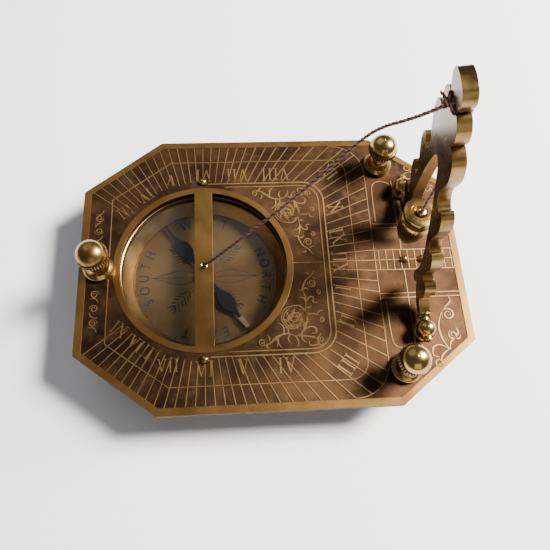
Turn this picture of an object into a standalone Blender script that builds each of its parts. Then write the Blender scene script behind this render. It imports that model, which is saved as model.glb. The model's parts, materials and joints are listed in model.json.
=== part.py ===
"""Portable string-gnomon sundial with a sunk compass, in brass.

Metres, +Z up. The origin is on the table under the plate's centre, +X is the dial's north and +Y its west.
An eight-sided plate stands on three levelling screws. A compass bowl is riveted under its two windows, and a
pierced arm, hinged between two ball posts, holds up the thread that casts the shadow and a plumb bob.
"""

import math

import bmesh
import bpy
from mathutils import Matrix, Vector

# ---------------------------------------------------------------- driving dimensions
GAP = 0.0003  # between neighbours that touch on the real object
RUNNING = 0.0004  # between a shaft and its hole

PLATE_LENGTH = 0.108  # north to south
PLATE_WIDTH = 0.0824  # west to east
PLATE_THICKNESS = 0.002
PLATE_UNDERSIDE = 0.0115  # above the table
CORNER_CUT_LENGTH = 0.022
CORNER_CUT_WIDTH = 0.0167

RING_OUTER = 0.0252  # bright ring of the compass window
RING_INNER = 0.0234
COMPASS_MARGIN = 0.0092  # from the plate's south edge to the ring
BAR_WIDTH = 0.0052  # bridge across the compass window
STRING_HOLE_RADIUS = 0.0006

BOWL_WALL = 0.0010
BOWL_FLOOR = 0.0010
BOWL_HEIGHT = 0.0081
BOWL_FLANGE = 0.0008
BOWL_EAR_WIDTH = 0.0060
BOWL_EAR_REACH = 0.0030  # from a rivet's axis to the ear's end
LEDGE_WIDTH = 0.0008
GLASS_THICKNESS = 0.0010
GLASS_RING_WIDTH = 0.0009
GLASS_RING_HEIGHT = 0.0006
CARD_THICKNESS = 0.0007

PIVOT_RADIUS = 0.0005
PIVOT_BASE_RADIUS = 0.0011
NEEDLE_LENGTH = 0.0405
NEEDLE_CLUB_WIDTH = 0.0044
NEEDLE_THICKNESS = 0.0004
NEEDLE_HUB_RADIUS = 0.0024
NEEDLE_LIFT = 0.0012  # from the card to the needle's underside
NEEDLE_BEARING_DEG = -53.9  # where the needle points at rest
CAP_RADIUS = 0.0017
CAP_BORE = 0.0008
CAP_SPIGOT = 0.0012

RIVET_HEAD = 0.0012
RIVET_SHANK = 0.0007
RIVET_OFFSET = 0.0018  # rivet axis outside the ring
STUD_HEAD = 0.0011
STUD_SOUTH = 0.0020  # stud axes, south and north of the hinge line
STUD_NORTH = 0.0031

SCREW_INSET_SOUTH = 0.0056  # screw axis from the plate's south edge
SCREW_INSET_NORTH = 0.0205
SCREW_INSET_SIDE = 0.0096
SCREW_RADIUS = 0.00175
BOSS_RADIUS = 0.0042
BOSS_TOP_RADIUS = 0.0029
BOSS_WALL_HEIGHT = 0.0018
BOSS_HEIGHT = 0.0038
HEAD_RADIUS = 0.0042
HEAD_LIFT = 0.0072  # from the plate to the head's underside
HEAD_CONE_HEIGHT = 0.0008
KNURL_HEIGHT = 0.0019
KNURL_DEPTH = 0.0003
KNURL_TEETH = 24
DOME_HEIGHT = 0.0036
PAD_RADIUS = 0.0032
PAD_HEIGHT = 0.0020
PAD_FLOOR = 0.0007

HINGE_INSET = 0.0144  # hinge line from the plate's north edge
HINGE_HEIGHT = 0.0034  # hinge line above the plate
POST_GAP_TO_SCREW = 0.0096  # from a screw's axis to the post beside it, along the hinge
POST_BALL = 0.0027
POST_FLANGE = 0.0025
POST_SPIGOT = 0.0012
PIN_RADIUS = 0.0012
PIN_COLLAR = 0.0019
PIN_BEYOND_BALL = 0.0009
ARM_THICKNESS = 0.0028
ARM_LEAN_DEG = 8.5  # at rest, towards the compass

BOB_RADIUS = 0.0041
BOB_DISC = 0.0017
BOB_TOP_BELOW_PIVOT = 0.0240
BOB_CAP_RADIUS = 0.0013
THREAD_DIAMETER = 0.0008
GNOMON_END_INSET = 0.0133  # from the hinge line south to the shadow thread's end at the waist

# ---------------------------------------------------------------- places that follow
MM = 0.001
PLATE_TOP = PLATE_UNDERSIDE + PLATE_THICKNESS
HALF_LENGTH = PLATE_LENGTH / 2
HALF_WIDTH = PLATE_WIDTH / 2
COMPASS_X = -HALF_LENGTH + COMPASS_MARGIN + RING_OUTER
HINGE_X = HALF_LENGTH - HINGE_INSET
HINGE_Z = PLATE_TOP + HINGE_HEIGHT
SCREW_SIDE_Y = HALF_WIDTH - SCREW_INSET_SIDE
HINGE_HALF_SPAN = SCREW_SIDE_Y - POST_GAP_TO_SCREW
RIVET_Y = RING_OUTER + RIVET_OFFSET
SCREWS = {
    "south": (-HALF_LENGTH + SCREW_INSET_SOUTH, 0.0),
    "west": (HALF_LENGTH - SCREW_INSET_NORTH, SCREW_SIDE_Y),
    "east": (HALF_LENGTH - SCREW_INSET_NORTH, -SCREW_SIDE_Y),
}
BOWL_TOP = PLATE_UNDERSIDE - GAP
BOWL_RADIUS = RING_INNER + BOWL_WALL + LEDGE_WIDTH + GAP
BOWL_BORE = BOWL_RADIUS - BOWL_WALL
BOWL_BOTTOM = BOWL_TOP - BOWL_HEIGHT
CARD_BOTTOM = BOWL_BOTTOM + BOWL_FLOOR + GAP
CARD_TOP = CARD_BOTTOM + CARD_THICKNESS
LEDGE_BORE = BOWL_BORE - LEDGE_WIDTH
GLASS_RADIUS = BOWL_BORE - GAP
GLASS_RING_TOP = BOWL_TOP
GLASS_TOP = GLASS_RING_TOP - GLASS_RING_HEIGHT - GAP
GLASS_BOTTOM = GLASS_TOP - GLASS_THICKNESS
LEDGE_TOP = GLASS_BOTTOM - GAP
NEEDLE_BOTTOM = CARD_TOP + NEEDLE_LIFT
ROUND = 44  # sides of a large round piece
ROUND_SMALL = 24


# ---------------------------------------------------------------- scene and finishes
def clear_scene():
    for obj in list(bpy.data.objects):
        bpy.data.objects.remove(obj, do_unlink=True)


def finish(name, colour, roughness, metallic=1.0):
    material = bpy.data.materials.new(name)
    material.use_nodes = True
    shader = material.node_tree.nodes["Principled BSDF"]
    shader.inputs["Base Color"].default_value = (*colour, 1)
    shader.inputs["Roughness"].default_value = roughness
    shader.inputs["Metallic"].default_value = metallic
    return material


# ---------------------------------------------------------------- modelling helpers
def to_object(name, mesh_data, material, parent=None):
    """Writes the bmesh into a new object whose faces all point outwards."""
    bmesh.ops.remove_doubles(mesh_data, verts=mesh_data.verts, dist=1e-7)
    bmesh.ops.recalc_face_normals(mesh_data, faces=mesh_data.faces)
    mesh = bpy.data.meshes.new(name)
    mesh_data.to_mesh(mesh)
    mesh_data.free()
    mesh.shade_smooth()
    mesh.set_sharp_from_angle(angle=math.radians(35))
    mesh.materials.append(material)
    obj = bpy.data.objects.new(name, mesh)
    bpy.context.scene.collection.objects.link(obj)
    if parent is not None:
        obj.parent = parent
    return obj


def pivot(name, place, lean_deg=0.0, parent=None):
    """An empty on a joint's axis, which the moving pieces are parented to."""
    empty = bpy.data.objects.new(name, None)
    empty.location = place
    empty.rotation_euler = (0, -math.radians(lean_deg), 0)
    bpy.context.scene.collection.objects.link(empty)
    if parent is not None:
        empty.parent = parent
    return empty


def turned_mesh(profile, sides, centre=(0, 0), closed=False):
    """Spins a profile of (radius, height) points about a vertical axis at centre."""
    shape = bmesh.new()
    verts = [shape.verts.new((radius, 0, height)) for radius, height in profile]
    pairs = list(zip(verts, verts[1:]))
    if closed:
        pairs.append((verts[-1], verts[0]))
    edges = [shape.edges.new(pair) for pair in pairs]
    full = 2 * math.pi
    bmesh.ops.spin(
        shape, geom=verts + edges, cent=(0, 0, 0), axis=(0, 0, 1), angle=full, steps=sides, use_merge=True
    )
    bmesh.ops.remove_doubles(shape, verts=shape.verts, dist=1e-7)
    bmesh.ops.translate(shape, verts=shape.verts, vec=(*centre, 0))
    return shape


def turned(name, profile, material, centre=(0, 0), sides=ROUND, closed=False, parent=None):
    return to_object(name, turned_mesh(profile, sides, centre, closed=closed), material, parent)


def prism_mesh(outline, low, high):
    """Extrudes a flat outline of (x, y) points from one height to another."""
    shape = bmesh.new()
    base = shape.faces.new([shape.verts.new((x, y, low)) for x, y in outline])
    made = bmesh.ops.extrude_face_region(shape, geom=[base])
    tops = [item for item in made["geom"] if isinstance(item, bmesh.types.BMVert)]
    bmesh.ops.translate(shape, verts=tops, vec=(0, 0, high - low))
    return shape


def prism(name, outline, low, high, material, parent=None):
    return to_object(name, prism_mesh(outline, low, high), material, parent)


def disc_points(radius, centre=(0, 0), sides=ROUND, start=0.0, sweep=2 * math.pi):
    """Points round an arc; the last is left out on a full turn."""
    steps = sides if sweep < 2 * math.pi else sides - 1
    return [
        (
            centre[0] + radius * math.cos(start + sweep * step / sides),
            centre[1] + radius * math.sin(start + sweep * step / sides),
        )
        for step in range(steps + 1)
    ]


def combine(obj, tool, operation):
    """Applies one Boolean and removes the tool."""
    modifier = obj.modifiers.new(operation.lower(), "BOOLEAN")
    modifier.operation = operation
    modifier.object = tool
    bpy.context.view_layer.update()
    graph = bpy.context.evaluated_depsgraph_get()
    mesh = bpy.data.meshes.new_from_object(obj.evaluated_get(graph))
    obj.modifiers.clear()
    obj.data = mesh
    bpy.data.objects.remove(tool, do_unlink=True)


def cut(obj, tool):
    combine(obj, tool, "DIFFERENCE")


def join(obj, tool):
    combine(obj, tool, "UNION")


def round_hole(obj, radius, centre, low, high, sides=ROUND_SMALL):
    tool = prism("hole", disc_points(radius, centre, sides), low - MM, high + MM, BRASS_DARK)
    cut(obj, tool)


def smooth_outline(points, steps):
    """A Catmull-Rom curve through (x, y) points; a point with a third item is a corner."""
    places = [Vector((point[0], point[1])) for point in points]
    corner = [len(point) > 2 for point in points]
    curve = []
    for index in range(len(places) - 1):
        here, there = places[index], places[index + 1]
        before = places[index - 1] if index > 0 and not corner[index] else here
        last = index + 2 >= len(places) or corner[index + 1]
        after = there if last else places[index + 2]
        for step in range(steps):
            s = step / steps
            curve.append(
                0.5 * (
                    2 * here
                    + (there - before) * s
                    + (2 * before - 5 * here + 4 * there - after) * s * s
                    + (3 * here - before - 3 * there + after) * s ** 3
                )
            )
    curve.append(places[-1])
    return [(point.x, point.y) for point in curve]


def sphere_profile(radius, centre_height, from_deg, to_deg, steps, flatten=1.0):
    """Points of a turned ball between two latitudes, low to high."""
    points = []
    for step in range(steps + 1):
        angle = math.radians(from_deg + (to_deg - from_deg) * step / steps)
        height = centre_height + flatten * radius * math.sin(angle)
        points.append((max(0.0, radius * math.cos(angle)), height))
    return points


# ---------------------------------------------------------------- the dial plate
def octagon():
    x, y = HALF_LENGTH, HALF_WIDTH
    cx, cy = x - CORNER_CUT_LENGTH, y - CORNER_CUT_WIDTH
    return [(x, -cy), (x, cy), (cx, y), (-cx, y), (-x, cy), (-x, -cy), (-cx, -y), (cx, -y)]


def window(side):
    """Outline of one of the two D windows beside the bar: side is -1 for south, +1 for north."""
    half_bar = BAR_WIDTH / 2
    opening = math.acos(half_bar / RING_INNER)
    middle = 0.0 if side > 0 else math.pi
    return disc_points(RING_INNER, (COMPASS_X, 0), 28, middle - opening, 2 * opening)


def dial_plate():
    plate = prism("dial_plate", octagon(), PLATE_UNDERSIDE, PLATE_TOP, BRASS_DARK)
    for side in (-1, 1):
        cut(plate, prism("window", window(side), PLATE_UNDERSIDE - MM, PLATE_TOP + MM, BRASS_DARK))
    holes = [(STRING_HOLE_RADIUS, (COMPASS_X, 0))]
    holes += [(RIVET_SHANK + GAP, (COMPASS_X, side * RIVET_Y)) for side in (-1, 1)]
    holes += [(RIVET_SHANK + GAP, (x, 0)) for x in stud_places()]
    holes += [(SCREW_RADIUS + RUNNING, place) for place in SCREWS.values()]
    holes += [(POST_SPIGOT + GAP, (HINGE_X, side * HINGE_HALF_SPAN)) for side in (-1, 1)]
    for radius, centre in holes:
        round_hole(plate, radius, centre, PLATE_UNDERSIDE, PLATE_TOP, 16)
    return plate


# ---------------------------------------------------------------- the compass
def compass_bowl():
    """A turned cup with a ledge for the glass, and a flange drawn out into two ears for its rivets."""
    profile = [
        (0, BOWL_BOTTOM),
        (BOWL_RADIUS, BOWL_BOTTOM),
        (BOWL_RADIUS, BOWL_TOP),
        (BOWL_BORE, BOWL_TOP),
        (BOWL_BORE, LEDGE_TOP),
        (LEDGE_BORE, LEDGE_TOP),
        (LEDGE_BORE, BOWL_BOTTOM + BOWL_FLOOR),
        (0, BOWL_BOTTOM + BOWL_FLOOR),
    ]
    bowl = turned("compass_bowl", profile, BRASS_DARK, (COMPASS_X, 0))
    reach = RIVET_Y + BOWL_EAR_REACH
    for side in (-1, 1):
        start = BOWL_RADIUS - BOWL_WALL / 2
        half = BOWL_EAR_WIDTH / 2
        ear = [
            (COMPASS_X - half, side * start),
            (COMPASS_X + half, side * start),
            (COMPASS_X + half, side * (reach - half / 2)),
            (COMPASS_X + half / 2, side * reach),
            (COMPASS_X - half / 2, side * reach),
            (COMPASS_X - half, side * (reach - half / 2)),
        ]
        join(bowl, prism("ear", ear, BOWL_TOP - BOWL_FLANGE, BOWL_TOP, BRASS_DARK))
        hole_place = (COMPASS_X, side * RIVET_Y)
        round_hole(bowl, RIVET_SHANK + GAP, hole_place, BOWL_TOP - BOWL_FLANGE, BOWL_TOP, 16)


def compass_card():
    card = prism(
        "compass_card", disc_points(LEDGE_BORE - GAP, (COMPASS_X, 0)), CARD_BOTTOM, CARD_TOP, BRASS_CARD
    )
    round_hole(card, PIVOT_RADIUS + GAP, (COMPASS_X, 0), CARD_BOTTOM, CARD_TOP, 16)


def compass_glass():
    edge = 0.1 * GLASS_THICKNESS
    profile = [
        (0, GLASS_BOTTOM),
        (GLASS_RADIUS - edge, GLASS_BOTTOM),
        (GLASS_RADIUS, GLASS_BOTTOM + edge),
        (GLASS_RADIUS, GLASS_TOP - edge),
        (GLASS_RADIUS - edge, GLASS_TOP),
        (0, GLASS_TOP),
    ]
    turned("compass_glass", profile, GLASS, (COMPASS_X, 0))


def glass_ring():
    """The sprung ring that holds the glass down on its ledge."""
    inner = GLASS_RADIUS - GLASS_RING_WIDTH
    profile = [
        (inner, GLASS_TOP + GAP),
        (GLASS_RADIUS, GLASS_TOP + GAP),
        (GLASS_RADIUS, GLASS_RING_TOP),
        (inner, GLASS_RING_TOP),
    ]
    turned("glass_ring", profile, BRASS, (COMPASS_X, 0), closed=True)


def needle_pivot():
    base = BOWL_BOTTOM + BOWL_FLOOR + GAP
    collar = CARD_TOP + GAP
    tip = NEEDLE_BOTTOM + NEEDLE_THICKNESS + CAP_BORE / 2
    profile = [
        (0, base),
        (PIVOT_RADIUS, base),
        (PIVOT_RADIUS, collar),
        (PIVOT_BASE_RADIUS, collar),
        (PIVOT_BASE_RADIUS * 0.8, collar + 0.25 * MM),
        (PIVOT_RADIUS * 0.7, collar + 0.3 * MM),
        (0.12 * MM, tip),
        (0, tip),
    ]
    turned("needle_pivot", profile, STEEL, (COMPASS_X, 0), 16)


def needle_outline():
    """Half of the blade's outline, from its hub out along a club-shaped wing to the narrow tip."""
    half = NEEDLE_LENGTH / 2
    club = NEEDLE_CLUB_WIDTH / 2
    quarter = [
        (0.095 * half, 0.30 * club),
        (0.300 * half, 0.30 * club),
        (0.420 * half, 0.95 * club),
        (0.560 * half, 1.00 * club),
        (0.680 * half, 0.45 * club),
        (0.780 * half, 0.22 * club),
        (1.000 * half, 0.10 * club),
    ]
    side = smooth_outline(quarter, 3)
    return side + [(x, -y) for x, y in reversed(side)]


def compass_needle(turning):
    height = NEEDLE_BOTTOM - CARD_TOP
    top = height + NEEDLE_THICKNESS
    blade = prism("compass_needle", disc_points(NEEDLE_HUB_RADIUS, sides=20), height, top, STEEL, turning)
    for side in (-1, 1):
        wing = [(side * x, side * y) for x, y in needle_outline()]
        tool = prism("wing", wing, height, top, STEEL, turning)
        join(blade, tool)
    tool = prism("hub_hole", disc_points(CAP_SPIGOT + GAP, sides=16), height - MM, top + MM, STEEL, turning)
    cut(blade, tool)
    cap_profile = [
        (CAP_BORE, height - 0.2 * MM),
        (CAP_SPIGOT, height - 0.2 * MM),
        (CAP_SPIGOT, top + GAP),
        (CAP_RADIUS, top + GAP),
        (CAP_RADIUS, top + GAP + 0.2 * MM),
        (CAP_RADIUS * 0.7, top + GAP + 0.75 * MM),
        (0, top + GAP + 0.95 * MM),
        (0, top + GAP + 0.5 * MM),
        (CAP_BORE, top + GAP + 0.2 * MM),
    ]
    turned("needle_cap", cap_profile, BRASS, parent=turning, sides=16, closed=True)


# ---------------------------------------------------------------- rivets and studs
def stud_places():
    return (HINGE_X - STUD_SOUTH, HINGE_X + STUD_NORTH)


def domed_pin(name, head, lowest, place):
    """A domed head over the plate, a shank through it and a hammered end below."""
    under_head = PLATE_TOP + GAP
    dome = sphere_profile(head, under_head, 0, 90, 4, 0.8)
    profile = [
        (0, lowest - GAP - 0.6 * MM),
        (RIVET_SHANK * 1.5, lowest - GAP - 0.5 * MM),
        (RIVET_SHANK * 2.0, lowest - GAP),
        (RIVET_SHANK, lowest - GAP),
        (RIVET_SHANK, under_head),
    ]
    turned(name, profile + dome, BRASS, place, 16)


# ---------------------------------------------------------------- levelling screws
def levelling_screw(side, place, lift, turning):
    """Boss on the plate, threaded screw with a knurled domed head, and the foot pad under its rounded end."""
    boss_profile = [
        (SCREW_RADIUS + RUNNING, PLATE_TOP + GAP),
        (BOSS_RADIUS, PLATE_TOP + GAP),
        (BOSS_RADIUS, PLATE_TOP + BOSS_WALL_HEIGHT),
        (BOSS_TOP_RADIUS, PLATE_TOP + BOSS_HEIGHT),
        (SCREW_RADIUS + RUNNING, PLATE_TOP + BOSS_HEIGHT),
    ]
    turned(f"level_boss_{side}", boss_profile, BRASS, place, 32, closed=True)

    head = PLATE_TOP + HEAD_LIFT
    tip = PAD_FLOOR + GAP
    tip_radius = SCREW_RADIUS * 0.7
    shank = [(0, tip)]
    shank += sphere_profile(tip_radius, tip + tip_radius, -60, 0, 3)
    shank += [
        (tip_radius, PAD_HEIGHT + 0.5 * MM),
        (SCREW_RADIUS, PAD_HEIGHT + MM),
        (SCREW_RADIUS, head),
        (HEAD_RADIUS - 2 * KNURL_DEPTH, head + HEAD_CONE_HEIGHT),
        (0, head + HEAD_CONE_HEIGHT),
    ]
    to_local = [(radius, height - PLATE_TOP) for radius, height in shank]
    screw = turned(f"level_screw_{side}", to_local, BRASS, parent=turning, sides=16)

    low = HEAD_LIFT + HEAD_CONE_HEIGHT - 0.1 * MM
    band = []
    for tooth in range(KNURL_TEETH * 2):
        radius = HEAD_RADIUS - (KNURL_DEPTH if tooth % 2 else 0)
        angle = math.pi * tooth / KNURL_TEETH
        band.append((radius * math.cos(angle), radius * math.sin(angle)))
    join(screw, prism("knurl", band, low, low + KNURL_HEIGHT, BRASS, turning))
    dome_foot = low + KNURL_HEIGHT - 0.1 * MM
    dome = [(0, dome_foot)]
    dome += sphere_profile(HEAD_RADIUS - KNURL_DEPTH / 2, dome_foot, 0, 90, 5, DOME_HEIGHT / HEAD_RADIUS)
    join(screw, turned("dome", dome, BRASS, parent=turning, sides=24))

    pad_base = -PLATE_TOP
    socket = tip_radius + GAP
    pad_profile = [
        (0, pad_base),
        (PAD_RADIUS, pad_base),
        (PAD_RADIUS, pad_base + 0.6 * PAD_HEIGHT),
        (PAD_RADIUS * 0.8, pad_base + PAD_HEIGHT),
        (socket, pad_base + PAD_HEIGHT),
        (socket, pad_base + PAD_FLOOR),
        (0, pad_base + PAD_FLOOR),
    ]
    turned(f"foot_pad_{side}", pad_profile, BRASS, parent=lift, sides=32)


# ---------------------------------------------------------------- the gnomon arm
# One half of the arm's outline, from the top leaf down its outer side to the foot and back up its
# inner side to the crotch: distance from the middle, height above the hinge, in millimetres for feet
# 18 apart from the middle. A third item marks a corner.
ARM_FOOT = 18.0
CORNER = True
ARM_HALF_OUTLINE = [
    (0, 72.8), (2.6, 72.2), (3.8, 70.2), (3.2, 67.8), (1.9, 65.8, CORNER),
    (3.6, 66.2), (5.4, 64.4), (5.6, 61.4), (4.4, 59.0, CORNER),
    (6.0, 59.0), (8.0, 57.6), (8.6, 53.6), (7.4, 49.2), (6.2, 45.8), (6.8, 42.6), (8.6, 41.6),
    (9.8, 43.4), (11.4, 42.4), (12.0, 38.6), (10.8, 33.6), (9.6, 29.6), (10.2, 26.8), (11.6, 26.4),
    (12.4, 28.2), (14.0, 27.2), (14.4, 23.2), (12.8, 18.0), (12.0, 14.4), (13.2, 13.2),
    (14.4, 14.8), (16.2, 14.0), (16.4, 10.2), (14.6, 6.4), (15.0, 3.4), (ARM_FOOT, 1.5, CORNER),
    (ARM_FOOT, -1.5, CORNER), (14.4, -1.3), (11.6, 1.0), (9.8, 4.2, CORNER), (8.8, 2.0),
    (7.2, 1.4), (6.6, 3.6), (7.4, 7.0), (8.6, 12.0), (8.5, 20.0), (6.6, 30.0), (4.2, 40.0), (1.6, 47.4),
    (0, 49.0),
]
CROTCH_HEIGHT = 0.049
WAIST_HEIGHT = 0.0658


def arm_outline():
    half = smooth_outline(ARM_HALF_OUTLINE, 2)
    spread = (HINGE_HALF_SPAN - POST_BALL - GAP - 1.0 * MM) / ARM_FOOT
    half = [(across * spread, up * MM) for across, up in half]
    other = [(-across, up) for across, up in reversed(half[1:-1])]
    return half + other


def gnomon_arm(leaning):
    """The pierced arm, made in its own plane and stood up on the hinge line, with a pin out of each foot."""
    shape = prism_mesh(arm_outline(), -ARM_THICKNESS / 2, ARM_THICKNESS / 2)
    stand = Matrix(((0, 0, 1, 0), (1, 0, 0, 0), (0, 1, 0, 0), (0, 0, 0, 1)))
    shape.transform(stand)
    arm = to_object("gnomon_arm", shape, BRASS_DARK, leaning)
    foot = HINGE_HALF_SPAN - POST_BALL - GAP - 1.0 * MM
    end = HINGE_HALF_SPAN + POST_BALL + PIN_BEYOND_BALL
    lay = Matrix.Rotation(-math.pi / 2, 4, "X")
    for side in (-1, 1):
        profile = [
            (0, foot - 1.5 * MM),
            (PIN_RADIUS, foot - 1.5 * MM),
            (PIN_RADIUS, foot - 0.2 * MM),
            (PIN_COLLAR, foot - 0.1 * MM),
            (PIN_COLLAR, foot + 0.8 * MM),
            (PIN_RADIUS, foot + 0.9 * MM),
            (PIN_RADIUS, end - 0.3 * MM),
            (PIN_RADIUS - 0.3 * MM, end),
            (0, end),
        ]
        pin = turned_mesh(profile, 16)
        pin.transform(lay)
        if side < 0:
            bmesh.ops.reverse_faces(pin, faces=pin.faces)
            bmesh.ops.scale(pin, vec=(1, -1, 1), verts=pin.verts)
        join(arm, to_object("pin", pin, BRASS_DARK, leaning))


def hinge_post(name, side):
    """A turned post riveted through the plate, whose ball is bored for the arm's pin."""
    underside = PLATE_UNDERSIDE - GAP
    seat = PLATE_TOP + GAP
    flange_top = seat + 0.6 * MM
    neck = POST_BALL * 0.55
    low_angle = -math.degrees(math.acos(neck / POST_BALL))
    profile = [
        (0, underside - 0.8 * MM),
        (POST_SPIGOT * 1.3, underside - 0.7 * MM),
        (POST_SPIGOT * 1.6, underside),
        (POST_SPIGOT, underside),
        (POST_SPIGOT, seat),
        (POST_FLANGE, seat),
        (POST_FLANGE, flange_top),
        (neck, flange_top + 0.05 * MM),
    ]
    profile += sphere_profile(POST_BALL, HINGE_Z, low_angle, 90, 7)
    place = (HINGE_X, side * HINGE_HALF_SPAN)
    post = turned(name, profile, BRASS, place, 20)
    bore = prism_mesh(disc_points(PIN_RADIUS + GAP, sides=16), -2 * POST_BALL, 2 * POST_BALL)
    bore.transform(Matrix.Translation((*place, HINGE_Z)) @ Matrix.Rotation(math.pi / 2, 4, "X"))
    cut(post, to_object("bore", bore, BRASS))


# ---------------------------------------------------------------- thread and plumb bob
def arm_face(height, out):
    """A point on the arm's middle line at rest: height up from the hinge, out from its north face."""
    lean = math.radians(ARM_LEAN_DEG)
    off = ARM_THICKNESS / 2 + out
    x = HINGE_X - height * math.sin(lean) + off * math.cos(lean)
    return (x, 0.0, HINGE_Z + height * math.cos(lean) + off * math.sin(lean))


def thread(name, route, diameter, material, parent=None, steps=3):
    """A round thread on a smooth curve through the route's points."""
    curve = bpy.data.curves.new(name, "CURVE")
    curve.dimensions = "3D"
    curve.bevel_depth = diameter / 2
    curve.bevel_resolution = 2
    curve.use_fill_caps = True
    places = [Vector(point) for point in route]
    points = []
    for index in range(len(places) - 1):
        here, there = places[index], places[index + 1]
        before = places[index - 1] if index else 2 * here - there
        after = places[index + 2] if index + 2 < len(places) else 2 * there - here
        for step in range(steps):
            s = step / steps
            points.append(
                0.5 * (
                    2 * here
                    + (there - before) * s
                    + (2 * before - 5 * here + 4 * there - after) * s * s
                    + (3 * here - before - 3 * there + after) * s ** 3
                )
            )
    points.append(places[-1])
    spline = curve.splines.new("POLY")
    spline.points.add(len(points) - 1)
    for slot, point in zip(spline.points, points):
        slot.co = (*point, 1)
    curve.materials.append(material)
    obj = bpy.data.objects.new(name, curve)
    bpy.context.scene.collection.objects.link(obj)
    if parent is not None:
        bpy.context.view_layer.update()
        obj.parent = parent
        obj.matrix_parent_inverse = parent.matrix_world.inverted()
    return obj


# The shadow thread's route, from the hole in the bar up to the arm's waist, in millimetres above the
# plate's top: it is a little slack and keeps the bend of its lay.
GNOMON_ROUTE = [
    (0.00, 0.00, -1.70), (0.15, 0.00, 0.00), (2.00, 0.10, 2.60), (4.70, 0.30, 6.40),
    (7.00, 0.50, 9.70), (9.30, 0.70, 13.00), (13.50, 1.15, 19.00), (17.60, 1.60, 24.60),
    (22.40, 2.35, 31.40), (26.90, 3.15, 37.90), (31.20, 4.20, 44.00), (35.00, 5.00, 49.60),
    (37.40, 5.10, 53.10), (39.55, 4.35, 56.30), (41.65, 2.95, 59.50), (43.70, 1.70, 62.60),
    (45.90, 0.70, 65.80),
]


def knot(name, place, width, height, material, parent=None):
    """A small overhand knot, drawn as a squashed ball."""
    shape = turned_mesh(sphere_profile(width / 2, 0, -90, 90, 6, height / width), 14)
    bmesh.ops.translate(shape, verts=shape.verts, vec=place)
    obj = to_object(name, shape, material)
    if parent is not None:
        bpy.context.view_layer.update()
        obj.parent = parent
        obj.matrix_parent_inverse = parent.matrix_world.inverted()


def plumb_bob(hanging):
    """A disc-topped brass weight with a turned groove, a cap screwed in its top, on a plumb thread."""
    top = -BOB_TOP_BELOW_PIVOT
    seat = BOB_CAP_RADIUS + GAP
    groove = BOB_RADIUS * 0.74
    body = BOB_RADIUS * 0.98
    profile = [
        (0, top - 0.9 * MM),
        (seat, top - 0.9 * MM),
        (seat, top),
        (BOB_RADIUS - 0.3 * MM, top),
        (BOB_RADIUS, top - 0.3 * MM),
        (BOB_RADIUS, top - BOB_DISC),
        (groove, top - BOB_DISC - 0.2 * MM),
        (groove, top - BOB_DISC - 1.4 * MM),
        (body, top - BOB_DISC - 2.2 * MM),
        (body, top - BOB_DISC - 5.0 * MM),
        (body * 0.93, top - BOB_DISC - 7.4 * MM),
        (body * 0.72, top - BOB_DISC - 10.0 * MM),
        (body * 0.42, top - BOB_DISC - 12.4 * MM),
        (body * 0.16, top - BOB_DISC - 14.4 * MM),
        (0, top - BOB_DISC - 15.0 * MM),
    ]
    profile.reverse()
    turned("plumb_bob", profile, BRASS, parent=hanging, sides=24)
    cap = [
        (0, top - 0.6 * MM),
        (BOB_CAP_RADIUS, top - 0.6 * MM),
        (BOB_CAP_RADIUS, top + 0.3 * MM),
        (BOB_CAP_RADIUS * 0.7, top + 0.6 * MM),
        (0, top + 0.6 * MM),
    ]
    turned("plumb_cap", cap, BRASS, parent=hanging, sides=20)
    return top + 0.6 * MM + GAP


# ---------------------------------------------------------------- the whole sundial
clear_scene()
BRASS = finish("brass", (0.52, 0.36, 0.13), 0.32)
BRASS_DARK = finish("brass_dark", (0.20, 0.12, 0.06), 0.45)
BRASS_CARD = finish("brass_card", (0.30, 0.20, 0.10), 0.5)
STEEL = finish("blued_steel", (0.03, 0.03, 0.04), 0.35)
GLASS = finish("glass", (0.9, 0.95, 0.95), 0.05, 0.0)
THREAD = finish("maroon_thread", (0.10, 0.03, 0.03), 0.8, 0.0)

dial_plate()
compass_bowl()
compass_card()
compass_glass()
glass_ring()
needle_pivot()
compass_needle(pivot("needle_axis", (COMPASS_X, 0, CARD_TOP)))
bpy.data.objects["needle_axis"].rotation_euler.z = math.radians(NEEDLE_BEARING_DEG)
for side_name, sign in (("west", 1), ("east", -1)):
    domed_pin(f"bowl_rivet_{side_name}", RIVET_HEAD, BOWL_TOP - BOWL_FLANGE, (COMPASS_X, sign * RIVET_Y))
    hinge_post(f"hinge_post_{side_name}", sign)
for side_name, stud_x in zip(("south", "north"), stud_places()):
    domed_pin(f"meridian_stud_{side_name}", STUD_HEAD, PLATE_UNDERSIDE, (stud_x, 0))
for side_name, place in SCREWS.items():
    axis_place = (*place, PLATE_TOP)
    lift_axis = pivot(f"lift_axis_{side_name}", axis_place)
    turn_axis = pivot(f"turn_axis_{side_name}", (0, 0, 0), parent=lift_axis)
    levelling_screw(side_name, place, lift_axis, turn_axis)

arm_axis = pivot("arm_axis", (HINGE_X, 0, HINGE_Z), ARM_LEAN_DEG)
gnomon_arm(arm_axis)
bpy.context.view_layer.update()

bar_hole = Vector((COMPASS_X, 0, PLATE_TOP))
stretch = (HINGE_X - GNOMON_END_INSET - COMPASS_X) / (GNOMON_ROUTE[-1][0] * MM)
thread(
    "gnomon_string",
    [Vector((x * stretch, y, z)) * MM + bar_hole for x, y, z in GNOMON_ROUTE],
    THREAD_DIAMETER,
    THREAD,
)
knot_below = (COMPASS_X, 0, PLATE_TOP - 1.7 * MM - GAP - 0.5 * MM)
knot("string_knot", knot_below, 1.7 * MM, 1.0 * MM, THREAD)
knot_behind = arm_face(WAIST_HEIGHT - 0.6 * MM, -ARM_THICKNESS - 1.35 * MM)
knot("waist_knot", knot_behind, 1.8 * MM, 1.6 * MM, THREAD, arm_axis)

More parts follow.
